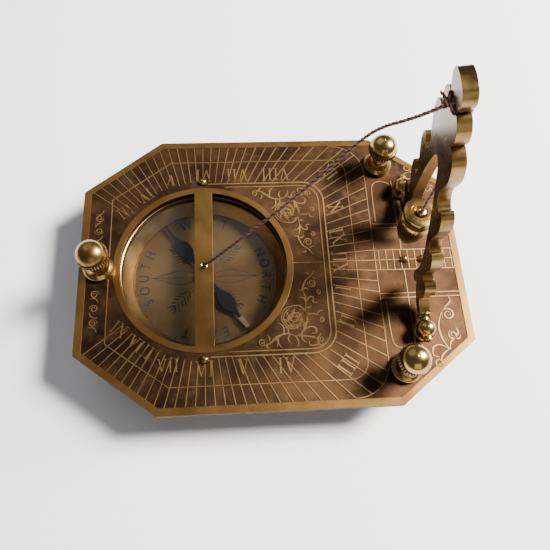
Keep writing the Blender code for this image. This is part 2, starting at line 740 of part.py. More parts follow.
clear_of_arm = GAP + THREAD_DIAMETER / 2
tail_route = [arm_face(CROTCH_HEIGHT + up * MM, clear_of_arm) for up in (16.6, 11.2, 6.2, 1.2)]
thread("plumb_tail", tail_route, THREAD_DIAMETER, THREAD, arm_axis)

hang_from = arm_face(CROTCH_HEIGHT, clear_of_arm)
plumb_axis = pivot("plumb_axis", hang_from)
bpy.context.view_layer.update()
line_foot = plumb_bob(plumb_axis)
line_route = [(0, 0, line_foot + part * (0 - line_foot) / 4) for part in range(5)]
line_route = [Vector(hang_from) + Vector(point) for point in line_route]
thread("plumb_line", line_route, THREAD_DIAMETER, THREAD, plumb_axis)
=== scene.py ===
"""Looks of the portable string-gnomon sundial: plate, sunk compass, folding arm, threads and plumb bob."""

import json
import math

import bpy
from mathutils import Matrix, Vector


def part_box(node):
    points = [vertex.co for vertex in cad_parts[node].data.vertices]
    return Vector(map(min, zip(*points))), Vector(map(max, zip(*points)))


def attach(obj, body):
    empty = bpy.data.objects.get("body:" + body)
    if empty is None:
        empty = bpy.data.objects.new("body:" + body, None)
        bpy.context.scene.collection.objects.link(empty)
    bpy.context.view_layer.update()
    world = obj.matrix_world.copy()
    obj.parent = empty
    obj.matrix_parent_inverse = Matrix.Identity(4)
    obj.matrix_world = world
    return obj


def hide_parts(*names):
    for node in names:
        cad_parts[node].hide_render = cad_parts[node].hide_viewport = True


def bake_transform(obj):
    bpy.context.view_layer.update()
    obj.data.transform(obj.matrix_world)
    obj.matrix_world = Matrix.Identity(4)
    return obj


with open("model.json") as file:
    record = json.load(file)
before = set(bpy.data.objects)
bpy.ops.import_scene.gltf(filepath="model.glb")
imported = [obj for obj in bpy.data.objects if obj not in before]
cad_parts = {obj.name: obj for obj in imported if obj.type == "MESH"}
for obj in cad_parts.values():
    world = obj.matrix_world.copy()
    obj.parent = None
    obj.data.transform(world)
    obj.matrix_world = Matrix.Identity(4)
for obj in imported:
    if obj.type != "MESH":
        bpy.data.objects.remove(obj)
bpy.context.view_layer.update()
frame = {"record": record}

MM = 0.001


# ------------------------------------------------------------------ places read from the frame
def corners(node):
    """The low and high corners of a CAD node's box."""
    low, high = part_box(node)
    return Vector(low), Vector(high)


plate_low, plate_high = corners("dial_plate")
PLATE_TOP = plate_high.z
PLATE_UNDER = plate_low.z
HALF_LENGTH = plate_high.x
HALF_WIDTH = plate_high.y
card_low, card_high = corners("compass_card")
glass_low, glass_high = corners("compass_glass")
bowl_low, bowl_high = corners("compass_bowl")
COMPASS_X = (glass_low.x + glass_high.x) / 2
COMPASS = (COMPASS_X, 0, 0)
CARD_TOP = card_high.z
CARD_RADIUS = (card_high.x - card_low.x) / 2
GLASS_RADIUS = (glass_high.x - glass_low.x) / 2
BOWL_RADIUS = (bowl_high.x - bowl_low.x) / 2
JOINTS = {joint["name"]: joint for joint in frame["record"]["behaviour"]["joints"]}
HINGE = Vector(JOINTS["arm_fold"]["pos_m"])
PLUMB = Vector(JOINTS["plumb_swing"]["pos_m"])

ROUND = 128  # sides of the compass's large round pieces
CORNER_CUT_LENGTH = 22.0 * MM
CORNER_CUT_WIDTH = 16.7 * MM
CORNER_SHIFT = 0.62  # share of a mitre's run by which an inner outline's corners move
RING_OUTER = 25.2 * MM
RING_INNER = 23.4 * MM
BAR_WIDTH = 5.2 * MM
BORDER_WIDTH = 2.1 * MM
RELIEF = 0.16 * MM  # height of the raised lines over the etched field
FIELD_TOP = PLATE_TOP - RELIEF
ARM_LEAN = math.radians(8.5)
ARM_THICKNESS = 2.8 * MM
BOSS_BORE = 2.15 * MM


# ------------------------------------------------------------------ shader maths
class Wire:
    """One socket of a material's nodes; sums and products of wires add Math nodes."""

    def __init__(self, tree, socket):
        self.tree = tree
        self.socket = socket

    def math(self, operation, other):
        node = self.tree.nodes.new("ShaderNodeMath")
        node.operation = operation
        for index, value in enumerate((self, other)):
            plug(self.tree, node.inputs[index], value)
        return Wire(self.tree, node.outputs[0])

    def __add__(self, other):
        return self.math("ADD", other)

    __radd__ = __add__

    def __mul__(self, other):
        return self.math("MULTIPLY", other)

    __rmul__ = __mul__

    def __sub__(self, other):
        return self.math("SUBTRACT", other)

    def __rsub__(self, other):
        return (self * -1.0) + other

    def clamp(self, low, high):
        return self.math("MAXIMUM", low).math("MINIMUM", high)


def plug(tree, socket, value):
    if isinstance(value, Wire):
        tree.links.new(value.socket, socket)
    elif value is not None:
        socket.default_value = value


class Finish:
    """A Principled material and the nodes that feed it."""

    def __init__(self, name):
        self.material = bpy.data.materials.new(name)
        self.material.use_nodes = True
        self.tree = self.material.node_tree
        self.shader = self.tree.nodes["Principled BSDF"]

    def node(self, kind, output=0, settings=(), numbered=(), **named):
        """Adds a node: its settings are set first, then its sockets by number and by name."""
        made = self.tree.nodes.new(kind)
        for key, value in settings:
            setattr(made, key, value)
        for number, value in numbered:
            plug(self.tree, made.inputs[number], value)
        for key, value in named.items():
            plug(self.tree, made.inputs[key.replace("_", " ")], value)
        return Wire(self.tree, made.outputs[output])

    def place(self):
        return self.node("ShaderNodeTexCoord", output=3)

    def noise(self, scale, detail=4.0, roughness=0.55, where=None, stretch=None):
        where = where or self.place()
        if stretch:
            where = self.node("ShaderNodeMapping", Vector=where, Scale=stretch)
        kind = "ShaderNodeTexNoise"
        return self.node(kind, Vector=where, Scale=scale, Detail=detail, Roughness=roughness)

    def mix(self, factor, first, second):
        """The first colour where factor is 0, the second where it is 1."""
        sockets = [(0, factor)]
        for number, colour in ((6, first), (7, second)):
            sockets.append((number, colour if isinstance(colour, Wire) else (*colour, 1)))
        return self.node("ShaderNodeMix", 2, [("data_type", "RGBA")], sockets)

    def set(self, **sockets):
        for key, value in sockets.items():
            plug(self.tree, self.shader.inputs[key.replace("_", " ")], value)

    def bump(self, height, strength, distance):
        normal = self.node("ShaderNodeBump", Height=height, Strength=strength, Distance=distance)
        self.set(Normal=normal)


def mask(value, low, high):
    """0 below low, 1 above high, straight between."""
    return ((value - low) * (1.0 / (high - low))).clamp(0.0, 1.0)


def etched_field():
    """The plate's dark sunk field, worn paler in patches."""
    finish = Finish("etched field")
    broad = finish.noise(70, 3.0)
    patches = finish.noise(260, 5.0, 0.65)
    grain = finish.noise(2600, 4.0, 0.7)
    warm = finish.mix(mask(broad, 0.38, 0.62), (0.023, 0.0118, 0.0062), (0.072, 0.0350, 0.0165))
    worn = finish.mix(mask(patches, 0.50, 0.74) * 0.55, warm, (0.130, 0.073, 0.033))
    finish.set(Base_Color=finish.mix(mask(grain, 0.35, 0.7) * 0.45, worn, (0.026, 0.0135, 0.0080)))
    finish.set(Metallic=1.0, Roughness=mask(patches, 0.2, 0.8) * 0.18 + 0.42)
    finish.bump(grain * 0.7 + patches * 0.3, 0.35, 0.0002)
    return finish.material


def relief_brass(name, lit, dull, roughness, speck):
    """Brass that stands up from the field, with dark specks."""
    finish = Finish(name)
    broad = finish.noise(120, 4.0)
    fine = finish.noise(1500, 4.0, 0.65)
    colour = finish.mix(mask(broad, 0.34, 0.66), dull, lit)
    finish.set(Base_Color=finish.mix(mask(fine, 0.56, 0.72) * speck, colour, (0.10, 0.05, 0.02)))
    finish.set(Metallic=1.0, Roughness=mask(fine, 0.2, 0.8) * 0.16 + roughness)
    finish.bump(fine, 0.12, 0.0001)
    return finish.material


def polished_brass():
    """Turned brass with tarnish and fine tool lines."""
    finish = Finish("turned brass")
    broad = finish.noise(160, 4.0, 0.6)
    lines = finish.noise(90, 3.0, 0.5, stretch=(1.0, 1.0, 26.0))
    pits = finish.noise(1900, 3.0, 0.7)
    tarnish = mask(broad, 0.42, 0.64)
    colour = finish.mix(tarnish * 0.85, (0.42, 0.275, 0.095), (0.14, 0.072, 0.022))
    finish.set(Base_Color=finish.mix(mask(pits, 0.62, 0.74) * 0.6, colour, (0.12, 0.06, 0.02)))
    finish.set(Metallic=1.0, Roughness=tarnish * 0.14 + mask(lines, 0.3, 0.7) * 0.06 + 0.17)
    finish.bump(lines * 0.6 + pits * 0.4, 0.10, 0.00008)
    return finish.material


def dark_brass(name, dark, light, roughness=0.32):
    """Brass that has gone dark unevenly."""
    finish = Finish(name)
    broad = finish.noise(110, 4.0, 0.6)
    fine = finish.noise(1300, 4.0, 0.7)
    colour = finish.mix(mask(broad, 0.35, 0.68), dark, light)
    finish.set(Base_Color=finish.mix(mask(fine, 0.6, 0.75) * 0.5, colour, (0.05, 0.025, 0.012)))
    finish.set(Metallic=1.0, Roughness=mask(broad, 0.3, 0.7) * 0.12 + roughness)
    finish.bump(fine, 0.12, 0.0001)
    return finish.material


def card_brass():
    """The compass card's dull lacquered face."""
    finish = Finish("compass card")
    broad = finish.noise(75, 3.0)
    fine = finish.noise(1700, 4.0, 0.7)
    colour = finish.mix(mask(broad, 0.36, 0.66), (0.15, 0.085, 0.034), (0.25, 0.155, 0.062))
    finish.set(Base_Color=finish.mix(mask(fine, 0.6, 0.72) * 0.4, colour, (0.09, 0.05, 0.025)))
    finish.set(Metallic=1.0, Roughness=mask(fine, 0.2, 0.8) * 0.15 + 0.38)
    finish.bump(fine, 0.1, 0.0001)
    return finish.material


def plain(name, colour, roughness, metallic=0.0, scale=900, change=0.3):
    """A finish whose colour and roughness wander a little."""
    finish = Finish(name)
    fine = finish.noise(scale, 4.0, 0.65)
    darker = tuple(channel * (1 - change) for channel in colour)
    finish.set(Base_Color=finish.mix(mask(fine, 0.35, 0.65), darker, colour))
    finish.set(Metallic=metallic, Roughness=mask(fine, 0.2, 0.8) * 0.12 + roughness)
    finish.bump(fine, 0.1, 0.00008)
    return finish.material


def window_glass():
    """Clear glass with a little dust."""
    finish = Finish("window glass")
    dust = finish.noise(2400, 2.0, 0.5)
    finish.set(Base_Color=(0.02, 0.02, 0.02, 1), Roughness=0.05, Metallic=0.0)
    finish.set(Alpha=mask(dust, 0.70, 0.75) * 0.25 + 0.12)
    return finish.material


FIELD = etched_field()
LINES = relief_brass("raised lines", (0.34, 0.215, 0.090), (0.22, 0.130, 0.052), 0.36, 0.6)
SATIN = relief_brass("satin border", (0.20, 0.108, 0.033), (0.13, 0.066, 0.019), 0.33, 0.45)
BRASS = polished_brass()
ARM_FACE = dark_brass("arm face", (0.085, 0.048, 0.025), (0.17, 0.10, 0.047), 0.22)
ARM_EDGE = dark_brass("arm edge", (0.13, 0.073, 0.024), (0.34, 0.22, 0.075), 0.27)
BOWL = dark_brass("bowl brass", (0.32, 0.21, 0.085), (0.55, 0.40, 0.18), 0.28)
CARD = card_brass()
INK = plain("card print", (0.008, 0.006, 0.005), 0.6)
STEEL = plain("blackened steel", (0.028, 0.027, 0.030), 0.30, 0.9)
THREAD = plain("maroon thread", (0.085, 0.022, 0.018), 0.62, 0.0, 2600, 0.5)
GLASS = window_glass()
# painted shade: the knurl's grooves are coloured dark brass to stand in for the shade that falls in them
KNURL_GROOVE_SHADE = plain("knurl grooves painted shade", (0.055, 0.030, 0.012), 0.5, 0.9)
SILVERED = plain("silvered sleeve", (0.30, 0.235, 0.135), 0.42, 0.9)
# painted highlight: the knurl's teeth are coloured pale brass to stand in for the light they catch
KNURL_TEETH_HIGHLIGHT = plain("knurl teeth painted highlight", (0.52, 0.36, 0.15), 0.40, 0.85)
PALE_THREAD = plain("pale thread", (0.30, 0.135, 0.095), 0.6, 0.0, 2600, 0.5)


# ------------------------------------------------------------------ modelling helpers
def clear_selection():
    bpy.ops.object.select_all(action="DESELECT")


def activate(obj):
    clear_selection()
    obj.select_set(True)
    bpy.context.view_layer.objects.active = obj


def new_mesh(name, verts, edges=(), faces=()):
    mesh = bpy.data.meshes.new(name)
    mesh.from_pydata([tuple(v) for v in verts], list(edges), list(faces))
    obj = bpy.data.objects.new(name, mesh)
    bpy.context.scene.collection.objects.link(obj)
    return obj


def finished(obj, name, material, body, nodes=(), angle=32.0, flats=False):
    """Applies the object's place, smooths it, ties it to its body and hides the CAD nodes it replaces."""
    activate(obj)
    obj.name = name
    obj.data.name = name
    bpy.ops.object.transform_apply(location=True, rotation=True, scale=True)
    bpy.ops.object.shade_smooth_by_angle(angle=math.radians(angle))
    if flats:
        obj.modifiers.new("flats", "WEIGHTED_NORMAL").keep_sharp = True
        apply_modifiers(obj)
    if material is not None:
        obj.data.materials.clear()
        obj.data.materials.append(material)
    if body is not None:
        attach(obj, body)
    if nodes:
        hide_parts(*nodes)
    return obj


def apply_modifiers(obj):
    activate(obj)
    for modifier in list(obj.modifiers):
        bpy.ops.object.modifier_apply(modifier=modifier.name)


def outward(obj):
    """Merges double points and turns the faces outwards."""
    activate(obj)
    bpy.ops.object.mode_set(mode="EDIT")
    bpy.ops.mesh.select_all(action="SELECT")
    bpy.ops.mesh.remove_doubles(threshold=1e-6)
    bpy.ops.mesh.normals_make_consistent(inside=False)
    bpy.ops.object.mode_set(mode="OBJECT")


def lathe(name, profile, place=(0, 0, 0), steps=72, closed=False):
    """Turns a profile of (radius, height) points about the vertical through place."""
    edges = [(i, i + 1) for i in range(len(profile) - 1)]
    if closed:
        edges.append((len(profile) - 1, 0))
    obj = new_mesh(name, [(radius, 0, height) for radius, height in profile], edges)
    screw = obj.modifiers.new("turn", "SCREW")
    screw.steps = screw.render_steps = steps
    screw.use_merge_vertices = True
    screw.merge_threshold = 1e-6
    apply_modifiers(obj)
    outward(obj)
    obj.location = place
    return obj


def turned(name, profile, place, steps, body, node, closed=False):
    """A bright brass piece from the lathe, in the place of one CAD node."""
    finished(lathe(name, profile, place, steps, closed), name, BRASS, body, [node])


def join(objects):
    clear_selection()
    for obj in objects:
        obj.select_set(True)
    bpy.context.view_layer.objects.active = objects[0]
    bpy.ops.object.join()
    return objects[0]


def subtract(obj, cutter):
    """Cuts the cutter's shape out of the piece and removes the cutter."""
    modifier = obj.modifiers.new("cut", "BOOLEAN")
    modifier.operation = "DIFFERENCE"
    modifier.object = cutter
    apply_modifiers(obj)
    bpy.data.objects.remove(cutter, do_unlink=True)
    return obj


def soften(obj, width, segments=2, sharper_than_deg=30):
    """Bevels the edges where the faces turn by more than an angle."""
    edge = obj.modifiers.new("edge", "BEVEL")
    edge.width = width
    edge.segments = segments
    edge.limit_method = "ANGLE"
    edge.angle_limit = math.radians(sharper_than_deg)
    apply_modifiers(obj)


def over(base, points, edge=0.0):
    """A lathe's profile from (distance past edge, height over base) in millimetres."""
    return [(edge + out * MM, base + height * MM) for out, height in points]


def arc(radius, centre, start_deg, end_deg, steps):
    """Points along an arc in the plate's plane."""
    points = []
    for step in range(steps + 1):
        angle = math.radians(start_deg + (end_deg - start_deg) * step / steps)
        points.append((centre[0] + radius * math.cos(angle), centre[1] + radius * math.sin(angle)))
    return points


def smooth_line(points, steps):
    """A Catmull-Rom curve through points of any dimension; a trailing True marks a corner."""
    corner = [isinstance(point[-1], bool) for point in points]
    places = [Vector(point[:-1] if flag else point) for point, flag in zip(points, corner)]
    curve = []
    for index in range(len(places) - 1):
        here, there = places[index], places[index + 1]
        before = places[index - 1] if index > 0 and not corner[index] else here
        stops = index + 2 >= len(places) or corner[index + 1]
        after = there if stops else places[index + 2]
        for step in range(steps):
            s = step / steps
            curve.append(
                0.5 * (
                    2 * here
                    + (there - before) * s
                    + (2 * before - 5 * here + 4 * there - after) * s * s
                    + (3 * here - before - 3 * there + after) * s ** 3
                )
            )
    curve.append(places[-1])
    return curve


def ribbon(verts, faces, points, width, base, top, closed=False):
    """Adds a raised flat line to verts and faces: a strip along points, narrower at its top.

    width is one number or a list with one number for each point."""
    points = [Vector((point[0], point[1])) for point in points]
    count = len(points)
    widths = width if isinstance(width, (list, tuple)) else [width] * count
    start = len(verts)
    for index, point in enumerate(points):
        before = points[(index - 1) % count] if closed or index else point
        after = points[(index + 1) % count] if closed or index + 1 < count else point
        ahead = (after - point).normalized() if (after - point).length > 1e-9 else None
        behind = (point - before).normalized() if (point - before).length > 1e-9 else None
        ahead = ahead or behind
        behind = behind or ahead
        along = (ahead + behind).normalized()
        side = Vector((-along.y, along.x))
        stretch = 1.0 / max(0.45, side.dot(Vector((-ahead.y, ahead.x))))
        half = widths[index] / 2 * stretch
        slope = min(0.06 * MM, half * 0.4)
        section = ((half + slope, base), (half - slope, top), (slope - half, top), (-half - slope, base))
        for offset, height in section:
            verts.append((point.x + side.x * offset, point.y + side.y * offset, height))
    spans = count if closed else count - 1
    for index in range(spans):
        a = start + 4 * index
        b = start + 4 * ((index + 1) % count)
        for k in range(4):
            m = (k + 1) % 4
            faces.append((a + k, b + k, b + m, a + m))
    if not closed:
        faces.append((start, start + 1, start + 2, start + 3))
        end = start + 4 * (count - 1)
        faces.append((end + 3, end + 2, end + 1, end))


def relief(name, lines, base, top, material, body, nodes=()):
    """One piece from many raised lines, each (points, width) or (points, width, True) for a closed line."""
    verts, faces = [], []
    for line in lines:
        ribbon(verts, faces, line[0], line[1], base, top, len(line) > 2 and line[2])
    obj = new_mesh(name, verts, (), faces)
    outward(obj)
    return finished(obj, name, material, body, nodes, 20.0)


def slab(name, outline, low, high):
    """A flat plate with the outline's shape, made by extruding its filled face."""
    obj = new_mesh(name, [(x, y, low) for x, y in outline], (), [tuple(range(len(outline)))])
    activate(obj)
    bpy.ops.object.mode_set(mode="EDIT")
    bpy.ops.mesh.select_all(action="SELECT")
    bpy.ops.mesh.extrude_region_move(TRANSFORM_OT_translate={"value": (0, 0, high - low)})
    bpy.ops.mesh.select_all(action="SELECT")
    bpy.ops.mesh.normals_make_consistent(inside=False)
    bpy.ops.object.mode_set(mode="OBJECT")
    return obj


def octagon(inset=0.0):
    """The plate's outline, or a parallel line a distance inside it."""
    x, y = HALF_LENGTH, HALF_WIDTH
    slant = math.hypot(CORNER_CUT_LENGTH, CORNER_CUT_WIDTH)
    along_x = inset * (slant - CORNER_CUT_WIDTH) / CORNER_CUT_LENGTH
    along_y = inset * (slant - CORNER_CUT_LENGTH) / CORNER_CUT_WIDTH
    right, top = x - inset, y - inset
    cut_y = y - CORNER_CUT_WIDTH - along_x * CORNER_SHIFT
    cut_x = x - CORNER_CUT_LENGTH - along_y * CORNER_SHIFT
    return [
        (right, -cut_y), (right, cut_y), (cut_x, top), (-cut_x, top),
        (-right, cut_y), (-right, -cut_y), (-cut_x, -top), (cut_x, -top),
    ]


def circle(radius):
    """A closed circle about the compass's middle, a point each 2.5 degrees."""
    return arc(radius, (COMPASS_X, 0), 0, 357.5, 143)


def window(side, radius, half_bar):
    """One half of the compass's opening, beside the bar."""
    opening = math.degrees(math.acos(half_bar / radius))
    middle = 0 if side > 0 else 180
    return arc(radius, (COMPASS_X, 0), middle - opening, middle + opening, 64)


# ------------------------------------------------------------------ camera, light and floor
CAMERA_PLACE = (-0.0109, -0.0652, 0.1629)
CAMERA_AIM = (0.0002, -0.0036, PLATE_TOP)
CAMERA_ROLL_DEG = 7.54
CAMERA_LENS = 37.8  # millimetres, on a sensor 36 wide
TABLE_SIZE = 2.4
SKY = ((0.86, 0.89, 0.95, 1), 0.15)  # colour and strength
LAMPS = (  # name, place, size, power, colour
    ("window", (0.62, 0.18, 0.62), 0.28, 46.0, (1.0, 0.97, 0.93)),
    ("fill", (-0.30, 0.55, 0.70), 0.70, 1.4, (0.92, 0.95, 1.0)),
    ("front", (0.10, -0.75, 0.45), 0.60, 1.3, (1.0, 0.97, 0.93)),
)
LAMP_AIM = (0, 0, 0.02)


def stage():
    """The camera, the table, the sky and the three lamps."""
    camera_data = bpy.data.cameras.new("camera")
    camera = bpy.data.objects.new("camera", camera_data)
    bpy.context.scene.collection.objects.link(camera)
    camera.location = CAMERA_PLACE
    aim = Vector(CAMERA_AIM) - camera.location
    camera.rotation_mode = "QUATERNION"
    upright = aim.to_track_quat("-Z", "Y")
    roll = Matrix.Rotation(math.radians(CAMERA_ROLL_DEG), 4, "Z").to_quaternion()
    camera.rotation_quaternion = upright @ roll
    camera_data.sensor_width = 36.0
    camera_data.lens = CAMERA_LENS
    camera_data.clip_start = 0.01
    bpy.context.scene.camera = camera

    bpy.ops.mesh.primitive_plane_add(size=TABLE_SIZE, location=(0, 0, 0))
    floor = bpy.context.object
    floor.name = "floor"
    paper = Finish("pale table")
    tooth = paper.noise(900, 3.0)
    white = paper.mix(mask(tooth, 0.3, 0.7), (0.84, 0.84, 0.85), (0.88, 0.88, 0.89))
    paper.set(Base_Color=white, Roughness=0.7)
    floor.data.materials.append(paper.material)

    world = bpy.data.worlds.new("studio")
    bpy.context.scene.world = world
    world.use_nodes = True
    background = world.node_tree.nodes["Background"]
    background.inputs["Color"].default_value, background.inputs["Strength"].default_value = SKY

    for name, place, size, power, colour in LAMPS:
        data = bpy.data.lights.new(name, "AREA")
        data.size = size
        data.energy = power
        data.color = colour
        lamp = bpy.data.objects.new(name, data)
        lamp.location = place
        lamp.rotation_euler = (Vector(LAMP_AIM) - Vector(place)).to_track_quat("-Z", "Y").to_euler()
        bpy.context.scene.collection.objects.link(lamp)


# ------------------------------------------------------------------ threads
STRAND_SHARE = 0.31  # a ply's radius as a share of the thread's diameter


def sampled(route, spacing):
    """Points a fixed distance apart along a smooth curve through the route."""
    fine = smooth_line(route, 40)
    points = [fine[0]]
    travelled = 0.0
    for before, after in zip(fine, fine[1:]):
        length = (after - before).length
        while travelled + length >= spacing:
            part = (spacing - travelled) / length
            before = before.lerp(after, part)
            points.append(before)
            length = (after - before).length
            travelled = 0.0
        travelled += length
    if (points[-1] - fine[-1]).length > spacing * 0.3:
        points.append(fine[-1])
    return points


def twisted(name, points, diameter, lay_length=1.9 * MM, plies=2):
    """A thread of twisted plies round the line through points."""
    strand = diameter * STRAND_SHARE
    swing = diameter / 2 - strand
    tangent = (points[1] - points[0]).normalized()
    across = tangent.orthogonal().normalized()
    travelled = 0.0
    frames = []
    for index, point in enumerate(points):
        if index:
            step = point - points[index - 1]
            travelled += step.length
            ahead = step.normalized()
            across = (across - ahead * across.dot(ahead)).normalized()
            tangent = ahead
        frames.append((point, across.copy(), tangent.cross(across), travelled))
    made = []
    for ply in range(plies):
        curve = bpy.data.curves.new(name, "CURVE")
        curve.dimensions = "3D"
        curve.bevel_depth = strand
        curve.bevel_resolution = 2
        curve.use_fill_caps = True
        spline = curve.splines.new("POLY")
        spline.points.add(len(frames) - 1)
        for slot, (point, one, two, along) in zip(spline.points, frames):
            angle = 2 * math.pi * (along / lay_length + ply / plies)
            place = point + (one * math.cos(angle) + two * math.sin(angle)) * swing
            slot.co = (*place, 1)
        curve.materials.append(PALE_THREAD if ply % 2 else THREAD)
        obj = bpy.data.objects.new(name, curve)
        bpy.context.scene.collection.objects.link(obj)
        activate(obj)
        bpy.ops.object.convert(target="MESH")
        made.append(bpy.context.object)
    return join(made)


def arm_point(height, across=0.0, out=0.0):
    """A point on the resting arm: height up it, across to the west, out from its middle to the north."""
    x = HINGE.x - height * math.sin(ARM_LEAN) + out * math.cos(ARM_LEAN)
    return Vector((x, across, HINGE.z + height * math.cos(ARM_LEAN) + out * math.sin(ARM_LEAN)))


THREAD_DIAMETER = 0.8 * MM
THREAD_SMOOTH = 60.0  # degrees between faces up to which a thread is shaded smooth
SAMPLE = 0.16 * MM
COARSE_SAMPLE = 0.2 * MM
KNOT_STEPS = 60
RING_STEPS = 48
WAIST = 65.8 * MM
CROTCH = 49.0 * MM
GNOMON_TIE = (46.60, 0.25, 67.10)  # where the shadow thread meets its binding
# The shadow thread's route in millimetres from the bar's hole and the plate's top to the arm's waist.
GNOMON_ROUTE = [
    (0.00, 0.00, -1.70), (0.15, 0.00, 0.00), (2.00, 0.10, 2.60), (4.70, 0.30, 6.40),
    (7.00, 0.50, 9.70), (9.30, 0.70, 13.00), (13.50, 1.15, 19.00), (17.60, 1.60, 24.60),
    (22.40, 2.35, 31.40), (26.90, 3.15, 37.90), (31.20, 4.20, 44.00), (35.00, 5.00, 49.60),
    (37.40, 5.10, 53.10), (39.55, 4.35, 56.30), (41.65, 2.95, 59.50), (43.70, 1.70, 62.60),
    (45.90, 0.70, 65.80),
]


def length_of(points):
    return sum((b - a).length for a, b in zip(points, points[1:]))


def trefoil(centre, radius, depth, upright):
    """The route of a three-lobed knot round centre; an upright one lies against the arm."""
    route = []
    for step in range(KNOT_STEPS + 1):
        angle = 2 * math.pi * step / KNOT_STEPS
        wide = radius * (2 + math.cos(3 * angle))
        spot = Vector((wide * math.cos(2 * angle), wide * math.sin(2 * angle), depth * math.sin(3 * angle)))
        route.append(centre + (spot.zxy if upright else spot))
    return route


def stopper_knot():
    """The knot under the bar that keeps the shadow thread from pulling through."""
    low, high = corners("string_knot")
    route = trefoil((low + high) / 2, 0.21 * MM, 0.2 * MM, False)
    stopper = twisted("stopper", sampled(route, SAMPLE), THREAD_DIAMETER * 0.7)
    finished(stopper, "stopper_knot", None, "plate", ["string_knot"], THREAD_SMOOTH)


def threads():
    """The shadow thread and the plumb thread."""
    bar_hole = Vector((COMPASS_X, 0, PLATE_TOP))
    route = [Vector(point) * MM + bar_hole for point in [*GNOMON_ROUTE, GNOMON_TIE]]
    line = sampled(route, SAMPLE)
    string = twisted("gnomon_string", line, THREAD_DIAMETER)
    finished(string, "gnomon_thread", None, None, ["gnomon_string"], THREAD_SMOOTH)
    length_of(line)
    line[::3] + [line[-1]]
    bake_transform(string)

    rest = ARM_THICKNESS / 2 + 0.7 * THREAD_DIAMETER
    down = [arm_point(height, 0, rest) for height in (WAIST, WAIST - 5 * MM, CROTCH + 5 * MM)]
    down.append(Vector((PLUMB.x, 0, PLUMB.z)))
    cap_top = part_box("plumb_cap")[1][2]
    for part in (0.25, 0.5, 0.75, 1.0):
        down.append(Vector((PLUMB.x, 0, PLUMB.z + (cap_top - 0.2 * MM - PLUMB.z) * part)))
    hanging = sampled(down, SAMPLE)
    plumb = twisted("plumb_thread", hanging, THREAD_DIAMETER)
    finished(plumb, "plumb_thread", None, None, ["plumb_line", "plumb_tail"], THREAD_SMOOTH)
    length_of(hanging)
    hanging[::3] + [hanging[-1]]
    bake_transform(plumb)


def waist_binding():
    """Two turns of thread round the arm's waist, their knot and its frayed end."""
    half_across = 1.95 * MM + 0.5 * THREAD_DIAMETER
    half_out = ARM_THICKNESS / 2 + 0.5 * THREAD_DIAMETER
    loops = []
    for lift in (-0.45 * MM, 0.45 * MM):
        ring = []
        for step in range(RING_STEPS + 1):
            angle = 2 * math.pi * step / RING_STEPS
            bulge = max(abs(math.cos(angle)), abs(math.sin(angle))) ** 0.7
            across = half_across * math.cos(angle) / bulge
            out = half_out * math.sin(angle) / bulge
            ring.append(arm_point(WAIST + lift + 0.4 * MM * math.sin(angle * 0.5), across, out))
        loops.append(twisted("waist_loop", sampled(ring, COARSE_SAMPLE), THREAD_DIAMETER * 0.9))
    centre = arm_point(WAIST - 0.3 * MM, 0.5 * MM, -ARM_THICKNESS / 2 - 1.0 * MM)
    knot = trefoil(centre, 0.2604 * MM, 0.40 * MM, True)
    loops.append(twisted("waist_knot", sampled(knot, COARSE_SAMPLE), THREAD_DIAMETER * 0.9))
    frayed = [centre, centre + Vector((-0.5, 1.0, 0.8)) * MM, centre + Vector((-0.7, 2.2, 0.3)) * MM]
    loops.append(twisted("waist_end", sampled(frayed, SAMPLE), THREAD_DIAMETER * 0.8))
    finished(join(loops), "waist_binding", None, "arm", ["waist_knot"], THREAD_SMOOTH)


# ------------------------------------------------------------------ the etched plate
def hole(radius, place, low, high):
    """An upright round cutter."""
    bpy.ops.mesh.primitive_cylinder_add(vertices=40, radius=radius, depth=high - low)
    cutter = bpy.context.object
    cutter.location = (place[0], place[1], (low + high) / 2)
    activate(cutter)
    bpy.ops.object.transform_apply(location=True, rotation=True, scale=True)
    return cutter


def middle_of(node):
    """The middle of a CAD node's box, seen from above."""
    low, high = corners(node)
    return ((low.x + high.x) / 2, (low.y + high.y) / 2)


def plate():
    """The slab sunk to the etched field, then the border, ring and bar left standing at full height."""
    field = slab("dial_field", octagon(), PLATE_UNDER, FIELD_TOP)
    low, high = PLATE_UNDER - MM, PLATE_TOP + MM
    for side in (-1, 1):
        subtract(field, slab("window", window(side, RING_INNER, BAR_WIDTH / 2), low, high))
    for side in ("south", "west", "east"):
        subtract(field, hole(BOSS_BORE, middle_of(f"level_boss_{side}"), low, high))
    subtract(field, hole(0.6 * MM, (COMPASS_X, 0), low, high))
    finished(field, "dial_field", FIELD, "plate", ["dial_plate"])

    border = slab("dial_border", octagon(), FIELD_TOP - 0.1 * MM, PLATE_TOP)
    subtract(border, slab("inside", octagon(BORDER_WIDTH), low, high))
    soften(border, 0.07 * MM)
    finished(border, "dial_border", SATIN, "plate", flats=True)

    ring = slab("compass_ring", circle(RING_OUTER), FIELD_TOP - 0.1 * MM, PLATE_TOP)
    for side in (-1, 1):
        subtract(ring, slab("window", window(side, RING_INNER - 0.02 * MM, BAR_WIDTH / 2), low, high))
    subtract(ring, hole(0.62 * MM, (COMPASS_X, 0), low, high))
    soften(ring, 0.09 * MM)
    finished(ring, "compass_ring_and_bar", SATIN, "plate", flats=True)

    eyelet = over(PLATE_TOP, [(0.55, -0.3), (0.58, 0.12), (0.78, 0.2), (1.0, 0.1), (1.05, -0.05)])
    rim = lathe("string_eyelet", eyelet, COMPASS, 48, closed=True)
    finished(rim, "string_eyelet", BRASS, "plate")


